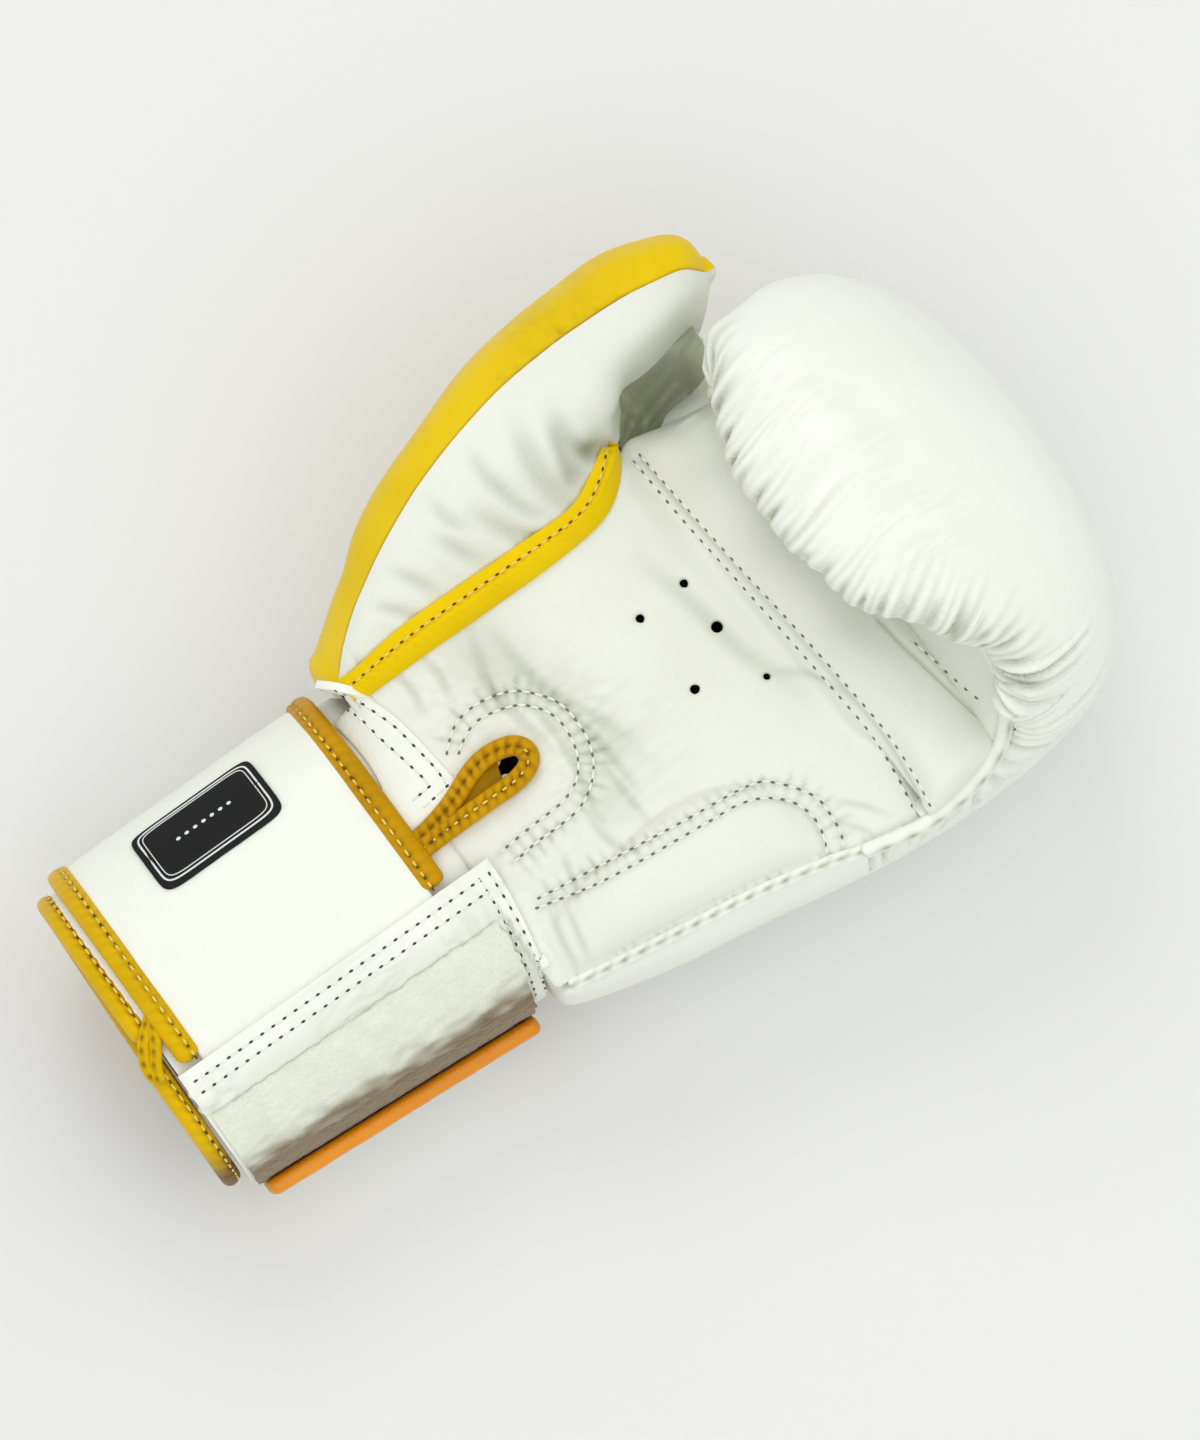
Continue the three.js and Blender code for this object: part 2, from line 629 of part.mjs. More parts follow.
function gripBar() {
  const rings = [];
  const steps = 16;
  const sides = 16;
  const row = sectionAt(HAND_SECTIONS, 'along', 0.9);
  const left = -HALF_MITT * row.leftSeam + SEAM_THICKNESS;
  const right = HALF_MITT * row.rightSeam - SEAM_THICKNESS;
  const centreY = GRIP_BAR_START + GRIP_BAR_WIDTH / 2;
  const palmLevel = CUFF_LEVEL + CUFF_HEIGHT / 2 + PALM_RISE;
  const centreZ = palmLevel + GRIP_BAR_LIFT - GRIP_BAR_HEIGHT / 2;
  for (let i = 0; i <= steps; i += 1) {
    const share = (1 - Math.cos(Math.PI * i / steps)) / 2;
    const x = mix(left, right, share);
    const end = Math.abs(2 * share - 1);
    const size = Math.max(Math.sqrt(1 - end ** 8), 0.35);
    const ring = [];
    for (let k = 0; k < sides; k += 1) {
      const angle = 2 * Math.PI * k / sides;
      ring.push(new THREE.Vector3(
        x,
        centreY + size * GRIP_BAR_WIDTH / 2 * Math.cos(angle),
        centreZ + size * GRIP_BAR_HEIGHT / 2 * Math.sin(angle),
      ));
    }
    rings.push(ring);
  }
  return bar(rings);
}

// Inner face of the fingers, from the grip bar up to the lip
function fingerPanel() {
  const outer = [];
  const inner = [];
  const columns = 14;
  const rise = 8;
  const footY = GRIP_BAR_START + GRIP_BAR_WIDTH + GAP;
  const palmLevel = CUFF_LEVEL + CUFF_HEIGHT / 2 + PALM_RISE;
  for (let k = 0; k <= columns; k += 1) {
    const side = mix(-1.75, 1.75, k / columns);
    const turn = lipTurn(side);
    const lip = curlPoint(turn, side, true);
    const x = clamp(lip.x, -0.66 * HALF_MITT, 0.93 * HALF_MITT);
    const bottom = new THREE.Vector3(x, footY + 0.5 * LEATHER, palmLevel - 0.1 * GRIP_BAR_HEIGHT);
    const front = [];
    const back = [];
    for (let i = 0; i <= rise; i += 1) {
      const share = i / rise;
      const bulge = LEATHER * Math.sin(Math.PI * share);
      const y = mix(bottom.y, lip.y, share) - bulge;
      const z = mix(bottom.z, lip.z - GAP, share);
      front.push(new THREE.Vector3(mix(x, lip.x, share), y, z));
      back.push(new THREE.Vector3(mix(x, lip.x, share), y + LEATHER, z));
    }
    outer.push(front);
    inner.push(back);
  }
  return slab(outer, inner);
}

// Raised pad on the little finger's side of the palm
function heelPad() {
  const outer = [];
  const inner = [];
  const steps = 14;
  const columns = 8;
  const first = HEEL_ROWS[0].along;
  const last = HEEL_ROWS[HEEL_ROWS.length - 1].along;
  for (let i = 0; i <= steps; i += 1) {
    const along = mix(first, last, i / steps);
    const row = sectionAt(HEEL_ROWS, 'along', along);
    const y = HAND_START + along * HAND_LENGTH;
    const left = row.inner * HALF_MITT;
    const right = palmEdges(y).right - LEATHER;
    const top = [];
    const base = [];
    for (let k = 0; k <= columns; k += 1) {
      const share = k / columns;
      const x = mix(left, right, share);
      const seat = palmTop(x, y) + GAP;
      const dome = 0.25 + 0.75 * Math.sin(Math.PI * share) ** 0.5;
      top.push(new THREE.Vector3(x, y, seat + Math.max(row.high, 0.15) * HEEL_PAD_HEIGHT * dome));
      base.push(new THREE.Vector3(x, y, seat));
    }
    outer.push(top);
    inner.push(base);
  }
  return slab(outer, inner);
}

// Cuff and what wraps round it

// A point over the cuff's skin: angle from the little finger's side over the palm, in degrees
function cuffPoint(angle, y, over) {
  const a = degrees(angle);
  const power = 2 / CUFF_POWER;
  const cos = Math.cos(a);
  const sin = Math.sin(a);
  const taper = RIM_TAPER * (1 - y / CUFF_LENGTH) * Math.max(cos, 0);
  return new THREE.Vector3(
    (CUFF_WIDTH / 2 - taper + over) * Math.sign(cos) * Math.abs(cos) ** power,
    y,
    CUFF_LEVEL + (CUFF_HEIGHT / 2 + over) * Math.sign(sin) * Math.abs(sin) ** power,
  );
}

// Angle on the palm side of the cuff at a distance from its middle
function cuffAngle(x) {
  const share = Math.abs(x) / (CUFF_WIDTH / 2);
  const angle = THREE.MathUtils.radToDeg(Math.acos(share ** (CUFF_POWER / 2)));
  return x < 0 ? 180 - angle : angle;
}

// A sheet wrapped round the cuff. reach(angle) gives its two edges along the glove.
function wrap(fromAngle, toAngle, steps, rowCount, reach, over, thickness) {
  const outer = [];
  const inner = [];
  for (let i = 0; i <= steps; i += 1) {
    const angle = mix(fromAngle, toAngle, i / steps);
    const [near, far] = reach(angle);
    const skin = [];
    const back = [];
    for (let k = 0; k <= rowCount; k += 1) {
      const y = mix(near, far, k / rowCount);
      skin.push(cuffPoint(angle, y, over(angle, y) + thickness));
      back.push(cuffPoint(angle, y, over(angle, y)));
    }
    outer.push(skin);
    inner.push(back);
  }
  return slab(outer, inner);
}

// A rolled binding that runs round the cuff
function roundBinding(fromAngle, toAngle, steps, centreY, width, thickness, over) {
  const sides = 8;
  const rings = [];
  for (let i = 0; i <= steps; i += 1) {
    const angle = mix(fromAngle, toAngle, i / steps);
    const ring = [];
    for (let k = 0; k < sides; k += 1) {
      const around = 2 * Math.PI * (k + 0.5) / sides;
      const y = centreY + 0.54 * width * Math.cos(around);
      const height = over(angle) + thickness * (0.5 + 0.54 * Math.sin(around));
      ring.push(cuffPoint(angle, clamp(y, centreY - width / 2, centreY + width / 2), height));
    }
    rings.push(ring);
  }
  return bar(rings);
}

const SLIT_ANGLE = cuffAngle(SLIT_AT_RIM);
const FLAP_ANGLE = cuffAngle(FLAP_EDGE);
const PATCH_ANGLE = cuffAngle(PATCH_EDGE);
const STRAP_ROOT_ANGLE = FLAP_ANGLE - ROOT_OVERLAP;
const FLAP_END_ANGLE = STRAP_END_ANGLE - 360 - FLAP_UNDERLAP;
const PATCH_END_ANGLE = STRAP_END_ANGLE - 360 - PATCH_UNDERLAP;
const STRAP_MIDDLE = STRAP_START + STRAP_WIDTH / 2;

// The strap lies on the cuff, and climbs over the flap and the loop patch at its free end
function strapOver(angle) {
  const climb = FLAP_THICKNESS + PATCH_THICKNESS + 2 * GAP;
  return GAP + climb * smooth(angle, FLAP_END_ANGLE + 360 - 25, FLAP_END_ANGLE + 360 - 1);
}

// The flap lies on the strap's root, and falls to the cuff beside it
function flapOver(angle) {
  const climb = STRAP_THICKNESS + GAP;
  return GAP + climb * smooth(angle, STRAP_ROOT_ANGLE - 14, STRAP_ROOT_ANGLE - 1);
}

function strapBody() {
  const near = STRAP_START + BINDING_WIDTH + GAP;
  const far = STRAP_START + STRAP_WIDTH - BINDING_WIDTH - GAP;
  return wrap(STRAP_ROOT_ANGLE, STRAP_END_ANGLE, 44, 2, () => [near, far], strapOver, STRAP_THICKNESS);
}

function cuffTube() {
  const steps = 46;
  const outer = [];
  const inner = [];
  const halfSlit = 0.5 * THREE.MathUtils.radToDeg(SLIT_WIDTH / (CUFF_WIDTH / 2));
  const ys = [RIM_WIDTH + GAP, CUFF_LENGTH / 2, CUFF_LENGTH];
  for (let i = 0; i <= steps; i += 1) {
    const angles = ys.map((y) => cuffAngle(slitAt(y)) + mix(halfSlit, 360 - halfSlit, i / steps));
    outer.push(ys.map((y, k) => cuffPoint(angles[k], y, 0)));
    inner.push(ys.map((y, k) => cuffPoint(angles[k], y, -CUFF_WALL)));
  }
  return slab(outer, inner);
}

function closureFlap() {
  const reach = (angle) => {
    const share = smooth(angle, 0, FLAP_ANGLE);
    return [RIM_WIDTH + GAP, CUFF_LENGTH + mix(-2 * GAP - FLAP_SETBACK, FLAP_OVERLAP, share)];
  };
  return wrap(FLAP_ANGLE, FLAP_END_ANGLE, 26, 3, reach, flapOver, FLAP_THICKNESS);
}

function loopPatch() {
  const margin = 1.5;
  const reach = () => [RIM_WIDTH + margin, CUFF_LENGTH - FLAP_SETBACK - margin];
  const over = (angle) => flapOver(angle) + FLAP_THICKNESS + GAP;
  return wrap(PATCH_ANGLE, PATCH_END_ANGLE, 20, 2, reach, over, PATCH_THICKNESS);
}

function labelPatch() {
  const half = THREE.MathUtils.radToDeg(LABEL_WIDTH / 2 / (CUFF_WIDTH / 2));
  const corner = 0.12 * LABEL_LENGTH;
  const reach = (angle) => {
    const side = Math.abs(angle - LABEL_ANGLE) / half;
    const short = corner * smooth(side, 0.72, 1);
    return [STRAP_MIDDLE - LABEL_LENGTH / 2 + short, STRAP_MIDDLE + LABEL_LENGTH / 2 - short];
  };
  const over = (angle) => strapOver(angle) + STRAP_THICKNESS + GAP;
  return wrap(LABEL_ANGLE - half, LABEL_ANGLE + half, 10, 1, reach, over, LABEL_THICKNESS);
}

function strapEdge(centreY) {
  const from = FLAP_ANGLE + 1.5;
  const to = STRAP_END_ANGLE - 0.8;
  return roundBinding(from, to, 38, centreY, BINDING_WIDTH, BINDING_THICKNESS, strapOver);
}

// Binding across the free end of the strap
function strapEnd() {
  const rings = [];
  const sides = 8;
  const steps = 6;
  const radius = CUFF_WIDTH / 2;
  const over = strapOver(STRAP_END_ANGLE);
  const half = THREE.MathUtils.radToDeg(BINDING_WIDTH / 2 / radius);
  const centre = STRAP_END_ANGLE + half + THREE.MathUtils.radToDeg(GAP / radius);
  for (let i = 0; i <= steps; i += 1) {
    const y = mix(STRAP_START, STRAP_START + STRAP_WIDTH, i / steps);
    const ring = [];
    for (let k = 0; k < sides; k += 1) {
      const around = 2 * Math.PI * (k + 0.5) / sides;
      const angle = centre + clamp(1.08 * Math.cos(around), -1, 1) * half;
      const height = over + BINDING_THICKNESS * (0.5 + 0.54 * Math.sin(around));
      ring.push(cuffPoint(angle, y, height));
    }
    rings.push(ring);
  }
  return bar(rings);
}

function rimBinding() {
  const halfSlit = 0.5 * THREE.MathUtils.radToDeg((SLIT_WIDTH + GAP) / (CUFF_WIDTH / 2));
  return roundBinding(
    SLIT_ANGLE + halfSlit,
    SLIT_ANGLE + 360 - halfSlit,
    42,
    RIM_WIDTH / 2,
    RIM_WIDTH,
    RIM_THICKNESS,
    () => -CUFF_WALL - (RIM_THICKNESS - CUFF_WALL) / 2,
  );
}

// Binding round the open end of the slit, from the strap over the teardrop and back
function slitBinding() {
  const width = 0.85 * BINDING_WIDTH;
  const half = width / 2;
  const start = STRAP_START + STRAP_WIDTH + 2 * GAP;
  const mid = HAND_START + TEARDROP_END;
  const wide = TEARDROP_RADIUS + half + GAP;
  const narrow = SLIT_WIDTH / 2 + half + GAP;
  const turns = [
    { across: narrow, y: start },
    { across: narrow, y: mix(start, mid, 0.45) },
    { across: wide, y: mix(start, mid, 0.9) },
    { across: 0.75 * wide, y: mid + 0.66 * wide },
    { across: 0, y: mid + wide },
  ];
  const beside = (side) => ({ across, y }) => new THREE.Vector3(slitAt(y) + side * across, y, 0);
  const rightSide = turns.map(beside(1));
  const leftSide = turns.slice(0, -1).reverse().map(beside(-1));
  const path = new THREE.CatmullRomCurve3([...rightSide, ...leftSide]);
  const steps = 34;
  const sides = 8;
  const rings = [];
  for (let i = 0; i <= steps; i += 1) {
    const centre = path.getPointAt(i / steps);
    const tangent = path.getTangentAt(i / steps);
    const across = new THREE.Vector3(-tangent.y, tangent.x, 0).normalize();
    const ring = [];
    for (let k = 0; k < sides; k += 1) {
      const around = 2 * Math.PI * (k + 0.5) / sides;
      const point = centre.clone().addScaledVector(across, clamp(1.08 * Math.cos(around), -1, 1) * half);
      const ground = point.y < HAND_START
        ? cuffPoint(cuffAngle(point.x), point.y, 0).z
        : palmTop(point.x, point.y);
      const rise = 0.75 * BINDING_THICKNESS * (0.5 + 0.54 * Math.sin(around));
      ring.push(new THREE.Vector3(point.x, point.y, ground + 1.5 * GAP + rise));
    }
    rings.push(ring);
  }
  return bar(rings);
}

// Assembly

const shapes = {};
shapes.thumb_outer = thumbPanel(OUTER_NAMES, THUMB_OUTER_COLUMNS, THUMB_PADDING);
shapes.thumb_inner = thumbPanel(INNER_NAMES, THUMB_INNER_COLUMNS, LEATHER);
shapes.grip_bar = gripBar();
shapes.finger_panel = fingerPanel();
const palm = slab(palmGrid(false), palmGrid(true));
const thumbTools = [grown(shapes.thumb_outer), grown(shapes.thumb_inner)];
shapes.palm_panel = cutBack(palm, ...slitTools(), ...ventTools());
shapes.mitt_shell = cutBack(
  slab(shellGrid(false), shellGrid(true)),
  tableCut,
  grown(shapes.finger_panel),
  grown(shapes.grip_bar),
  grown(palm),
  ...thumbTools,
);
shapes.thumb_web = cutBack(
  thumbWeb(),
  ...[shapes.mitt_shell, shapes.grip_bar, palm, shapes.thumb_outer, shapes.thumb_inner]
    .map((neighbour) => grown(neighbour, 2 * GAP)),
);
shapes.heel_pad = heelPad();
shapes.thumb_binding = cutBack(thumbBinding(), grown(palm), grown(shapes.thumb_inner));
shapes.cuff = cuffTube();
shapes.rim_binding = rimBinding();
shapes.slit_binding = slitBinding();
shapes.strap = strapBody();
shapes.strap_binding_hand = strapEdge(STRAP_START + STRAP_WIDTH - BINDING_WIDTH / 2);
shapes.strap_binding_wrist = strapEdge(STRAP_START + BINDING_WIDTH / 2);
shapes.strap_binding_end = strapEnd();
shapes.closure_flap = cutBack(closureFlap(), grown(palm));
shapes.loop_patch = loopPatch();
shapes.label_patch = labelPatch();

const FINISHES = {
  white: { color: 0xf2f3ea, roughness: 0.45 },
  yellow: { color: 0xf0cc10, roughness: 0.42 },
  gold: { color: 0xd99a08, roughness: 0.45 },
  fleece: { color: 0xd6dacb, roughness: 0.95 },
  black: { color: 0x141414, roughness: 0.5 },
};
const PIECES = {
  mitt_shell: 'white',
  palm_panel: 'white',
  heel_pad: 'white',
  grip_bar: 'white',
  finger_panel: 'white',
  thumb_outer: 'yellow',
  thumb_inner: 'white',
  thumb_binding: 'yellow',
  thumb_web: 'white',
  cuff: 'white',
  rim_binding: 'gold',
  slit_binding: 'gold',
  strap: 'white',
  strap_binding_hand: 'gold',
  strap_binding_wrist: 'gold',
  strap_binding_end: 'gold',
  closure_flap: 'white',
  loop_patch: 'fleece',
  label_patch: 'black',
};

const pieces = new THREE.Group();
for (const [name, finish] of Object.entries(PIECES)) {
  const material = new THREE.MeshStandardMaterial({ ...FINISHES[finish], metalness: 0 });
  const mesh = new THREE.Mesh(shapes[name], material);
  mesh.name = name;
  pieces.add(mesh);
}

// The origin is under the middle of the whole glove, on the table
const bounds = new THREE.Box3().setFromObject(pieces);
const middle = bounds.getCenter(new THREE.Vector3());
pieces.position.set(-middle.x, -middle.y, -bounds.min.z);
const glove = new THREE.Group();
glove.add(pieces);

export default glove;
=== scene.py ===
# %% [markdown]
# This lesson dresses a boxing glove in leather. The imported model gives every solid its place, and
# the cells below turn those solids into the real thing: foam under leather, rolled bindings, a
# closed strap, fleece, stitches and folds.

# %% Load the frame
import math

import bpy
import numpy as np
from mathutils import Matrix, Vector, kdtree, noise
from mathutils.bvhtree import BVHTree


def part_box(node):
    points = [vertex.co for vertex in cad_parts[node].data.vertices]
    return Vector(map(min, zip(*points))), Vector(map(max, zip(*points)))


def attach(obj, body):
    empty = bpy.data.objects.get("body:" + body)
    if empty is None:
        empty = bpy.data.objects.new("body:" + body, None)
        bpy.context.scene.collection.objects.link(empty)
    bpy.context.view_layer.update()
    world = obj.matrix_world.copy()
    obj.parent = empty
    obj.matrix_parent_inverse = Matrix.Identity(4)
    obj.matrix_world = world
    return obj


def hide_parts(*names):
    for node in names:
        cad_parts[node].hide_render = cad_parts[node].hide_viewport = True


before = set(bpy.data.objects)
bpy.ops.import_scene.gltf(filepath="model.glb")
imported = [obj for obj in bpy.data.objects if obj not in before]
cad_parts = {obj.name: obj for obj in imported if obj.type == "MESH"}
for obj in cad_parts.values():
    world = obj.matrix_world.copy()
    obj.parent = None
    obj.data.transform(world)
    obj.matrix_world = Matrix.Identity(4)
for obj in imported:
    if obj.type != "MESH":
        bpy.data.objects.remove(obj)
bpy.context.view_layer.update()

MM = 0.001
scene = bpy.context.scene
print("nodes in the frame:", len(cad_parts))

# %% [markdown]
# The camera comes first, because seams are found by looking along it. It stands where the
# photographer stood: 54 degrees round the glove and 80 degrees above the table. Every "mark" below
# is a place in the picture of 1200 by 1440 points that this camera takes.

# %% Camera
PICTURE_WIDTH, PICTURE_HEIGHT = 1200, 1440
FOCAL_PIXELS = 5649.7
AZIMUTH, ELEVATION = math.radians(54), math.radians(80)
LOOKED_AT, DISTANCE = Vector((0.0134, 0.0057, 0.080)), 1.5
SENSOR_WIDTH = 36
back = Vector((math.sin(AZIMUTH) * math.cos(ELEVATION), -math.cos(AZIMUTH) * math.cos(ELEVATION),
               math.sin(ELEVATION)))
right = Vector((math.cos(AZIMUTH), math.sin(AZIMUTH), 0))
up = back.cross(right)
eye = LOOKED_AT + DISTANCE * back
bpy.ops.object.camera_add(location=eye, rotation=back.to_track_quat("Z", "Y").to_euler())
camera = bpy.context.object
camera.data.sensor_width = SENSOR_WIDTH
camera.data.lens = FOCAL_PIXELS * SENSOR_WIDTH / PICTURE_HEIGHT
scene.camera = camera
print("lens", round(camera.data.lens, 1))


def sight(x, y):
    """Direction from the eye through one mark of the picture."""
    across = right * (x - PICTURE_WIDTH / 2) / FOCAL_PIXELS
    down = up * (y - PICTURE_HEIGHT / 2) / FOCAL_PIXELS
    return (-back + across - down).normalized()


# %% [markdown]
# A few helpers keep the later cells short. Each one is an ordinary step of modelling by hand: copy
# a solid and merge its corners, apply a modifier, read the points, put them back.

# %% Helpers for meshes
MERGE_DISTANCE = 2e-6


def only(obj):
    """Makes one object the only selected one, and the active one."""
    bpy.ops.object.select_all(action="DESELECT")
    obj.select_set(True)
    bpy.context.view_layer.objects.active = obj
    return obj


def in_edit_mode(obj, *steps):
    """Selects the whole mesh in edit mode and runs some of its operators."""
    only(obj)
    bpy.ops.object.mode_set(mode="EDIT")
    bpy.ops.mesh.select_all(action="SELECT")
    for operator, settings in steps:
        getattr(bpy.ops.mesh, operator)(**settings)
    bpy.ops.object.mode_set(mode="OBJECT")
    return obj


def joined(name, objs):
    """One object made of several, under a new name."""
    bpy.ops.object.select_all(action="DESELECT")
    for obj in objs:
        obj.select_set(True)
    bpy.context.view_layer.objects.active = objs[0]
    bpy.ops.object.join()
    objs[0].name = name
    return objs[0]


def solid_copy(name, node_name):
    """A new object from a copy of one CAD solid, with its loose corners merged."""
    copy = bpy.data.objects.new(name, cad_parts[node_name].data.copy())
    copy.data.materials.clear()
    scene.collection.objects.link(copy)
    return in_edit_mode(copy, ("remove_doubles", {"threshold": MERGE_DISTANCE}))


def applied(obj, kind, **settings):
    """Adds a modifier, sets it and applies it."""
    only(obj)
    modifier = obj.modifiers.new(kind, kind)
    for key, value in settings.items():
        setattr(modifier, key, value)
    bpy.ops.object.modifier_apply(modifier=modifier.name)
    return obj


def skin(obj, size, rounds):
    """Even skin over a solid: a voxel remesh, then a few rounds of smoothing."""
    applied(obj, "REMESH", mode="VOXEL", voxel_size=size * MM, use_smooth_shade=True)
    return applied(obj, "SMOOTH", factor=0.5, iterations=rounds)


def points(obj):
    """The corners of a mesh, in metres."""
    co = np.empty(len(obj.data.vertices) * 3, np.float32)
    obj.data.vertices.foreach_get("co", co)
    return co.reshape(-1, 3).astype(float)


def directions(obj):
    """The normals at the corners of a mesh."""
    no = np.empty(len(obj.data.vertices) * 3, np.float32)
    obj.data.vertex_normals.foreach_get("vector", no)
    return no.reshape(-1, 3).astype(float)


def put(obj, co):
    """Moves the corners of a mesh to new places."""
    obj.data.vertices.foreach_set("co", np.asarray(co, np.float32).ravel())
    obj.data.update()


def ease(value, low, high):
    """Rises smoothly from 0 at low to 1 at high."""
    t = np.clip((value - low) / (high - low), 0, 1)
    return t * t * (3 - 2 * t)


def unit(v):
    """The same directions with a length of 1."""
    return v / np.maximum(np.linalg.norm(v, axis=-1, keepdims=True), 1e-12)


def way_along(rows):
    """How far along a line each of its points lies."""
    return np.concatenate([[0], np.cumsum(np.linalg.norm(np.diff(rows, axis=0), axis=1))])


def between(rows, places, known):
    """Rows read off between their points: known says where each row is, places where to read."""
    return np.stack([np.interp(places, known, rows[:, k]) for k in range(rows.shape[1])], 1)


def shares_of(rows, share):
    """Rows read off at shares of their number, from 0 to 1."""
    return between(rows, share, np.linspace(0, 1, len(rows)))


# %% [markdown]
# Leather never folds evenly. Folds get their uneven steps from smooth noise, which comes from
# seeded numbers, so every run gives the same glove.

# %% Noise
LATTICE = 4096


def chance(seed):
    """Seeded numbers between 0 and 1."""
    return np.random.default_rng(seed).uniform(0, 1, LATTICE)


def rough(value, seed):
    """Smooth noise along a line, between -1 and 1."""
    lattice = 2 * chance(seed) - 1
    whole = np.floor(value).astype(int)
    t = ease(value - whole, 0, 1)
    return lattice[whole % LATTICE] * (1 - t) + lattice[(whole + 1) % LATTICE] * t


def rough_space(co, size, seed):
    """Smooth noise in space for every point, between about -1 and 1. size is in millimetres."""
    shift = Vector((seed * 7.1, seed * 3.3, seed * 5.7))
    scaled = np.asarray(co) / (np.asarray(size, float) * MM)
    return np.array([noise.noise(Vector(p) + shift) for p in scaled])


# %% [markdown]
# Seams are drawn on the picture and land on the pieces: a ray from the eye through each mark meets
# the skin. A line that has landed is a list of places in metres, with the skin's normals.

# %% Lines that land on the skin
def tree_of(*objs):
    """One search tree over the faces of several pieces."""
    corners, faces = [], []
    for obj in objs:
        start = len(corners)
        corners += [tuple(v.co) for v in obj.data.vertices]
        faces += [[start + i for i in p.vertices] for p in obj.data.polygons]
    return BVHTree.FromPolygons(corners, faces)


def smooth_line(marks, step):
    """Evenly spaced places on a smooth curve through marks, in any number of dimensions."""
    marks = np.array(marks, float)
    bends = [marks[0]]
    ends = np.vstack([2 * marks[0] - marks[1], marks, 2 * marks[-1] - marks[-2]])
    for i in range(1, len(ends) - 2):
        a, b, c, d = ends[i - 1:i + 3]
        for t in np.linspace(0, 1, 13)[1:]:
            bends.append(0.5 * (2 * b + (c - a) * t + (2 * a - 5 * b + 4 * c - d) * t * t
                                + (3 * b - a - 3 * c + d) * t ** 3))
    bends = np.array(bends)
    way = way_along(bends)
    places = np.linspace(0, way[-1], max(2, int(round(way[-1] / step)) + 1))
    return between(bends, places, way)


def landed(tree, marks, step=2.0):
    """Where a line drawn on the picture lands on the pieces: places and normals."""
    spots, normals = [], []
    for x, y in smooth_line(marks, step):
        hit, normal, _, _ = tree.ray_cast(eye, sight(x, y))
        if hit is not None:
            spots.append(hit)
            normals.append(normal if normal.dot(back) > 0 else -normal)
    return np.array(spots), np.array(normals)


def raised_to(rows, level):
    """Moves landed places along their rays from the eye until they lie at given heights."""
    rays = rows - np.array(eye)
    return np.array(eye) + rays * ((level - eye.z) / rays[..., 2])[..., None]


def softened(rows, rounds):
    """Evens out a landed line, so that a step under it doesn't kink it."""
    rows = rows.copy()
    for _ in range(rounds):
        rows[1:-1] = 0.25 * rows[:-2] + 0.5 * rows[1:-1] + 0.25 * rows[2:]
    return rows


# %% [markdown]
# Folds are pressed into a finished skin. Each helper returns how far every point moves along its
# normal, in millimetres, and how much painted shade it gets in the fold.

# %% Folds
def nearest(co, line, reach):
    """Distance to a line and place along it, in millimetres, for points within reach of it."""
    dense = smooth_line(line, 0.4 * MM)
    way = way_along(dense) / MM
    tree = kdtree.KDTree(len(dense))
    for i, p in enumerate(dense):
        tree.insert(p, i)
    tree.balance()
    far = np.full(len(co), 1e3)
    along = np.zeros(len(co))
    low, high = dense.min(0) - reach * MM, dense.max(0) + reach * MM
    for i in np.flatnonzero(np.all((co > low) & (co < high), axis=1)):
        _, k, distance = tree.find(co[i])
        far[i], along[i] = distance / MM, way[k]
    return far, along, way[-1]


def gathers(co, line, reach, depth, pitch, seed, sharp=0.17, swell=0.45, clear=0.0):
    """Pleats that run away from a seam, each with its own length and strength. They start clear
    of the seam by so many millimetres."""
    far, along, total = nearest(co, line, 1.7 * reach)
    place = along / pitch + 0.28 * rough(along / (2.1 * pitch), seed)
    border = np.round(place).astype(int)
    strength = 0.45 + 0.75 * chance(seed + 1)[border % LATTICE]
    length = reach * (0.55 + 0.85 * chance(seed + 2)[border % LATTICE])
    valley = np.exp(-((place - border) / sharp) ** 2) * strength
    hill = np.sin(math.pi * (place - np.floor(place))) ** 0.8
    fade = (1 - ease(far, 0.15 * length, length)) * ease(far, 0, clear + 1e-6)
    ends = ease(along, 0, 3) * (1 - ease(along, total - 3, total))
    press = depth * ends * fade * (swell * hill - valley)
    return press, 0.4 * ends * fade * valley


def crease(co, line, width, depth, lip=0.35):
    """One fold: a valley with a raised lip on both sides, that dies out at its ends."""
    far, along, total = nearest(co, line, 4 * width)
    ends = np.sin(math.pi * np.clip(along / max(total, 1e-6), 0.03, 0.97)) ** 0.6
    valley = np.exp(-(far / width) ** 2)
    raised = np.exp(-((far - 2 * width) / width) ** 2)
    return depth * ends * (lip * raised - valley), 0.3 * ends * valley


def groove(co, line, width, depth):
    """A seam pulled in by its thread: the same depth from end to end."""
    far, _, _ = nearest(co, line, 4 * width)
    valley = np.exp(-(far / width) ** 2)
    return -depth * valley, 0.25 * valley


def crinkle(co, centre, radius, size, depth, seed):
    """A patch of fine wrinkles. size gives their length along x, y and z in millimetres."""
    press = np.zeros(len(co))
    far = np.linalg.norm((co - np.asarray(centre)) / MM, axis=1)
    inside = np.flatnonzero(far < radius)
    if len(inside):
        ridge = 1 - 2.4 * np.abs(rough_space(co[inside], size, seed))
        fade = 1 - ease(far[inside], 0.45 * radius, radius)
        press[inside] = -depth * np.clip(ridge, 0, 1) ** 1.5 * fade
    return press, 0.1 * np.abs(press) / max(depth, 1e-9)


def hollow(co, centre, radius, depth, tone):
    """A broad soft dip, or a bulge where depth is below nothing, with a little shade."""
    far = np.linalg.norm((co - np.asarray(centre)) / MM, axis=1)
    near = np.exp(-(far / radius) ** 2)
    return -depth * near, tone * near


def creased(co, tree, folds, rounds):
    """The folds of a table, each with its marks, width and depth."""
    return [crease(co, softened(landed(tree, marks)[0], rounds), width, depth)
            for marks, width, depth in folds]


def crinkled(co, patches):
    """The wrinkled patches of a table, each with its place, radius, size, depth and seed."""
    return [crinkle(co, framed(place), *values) for place, *values in patches]


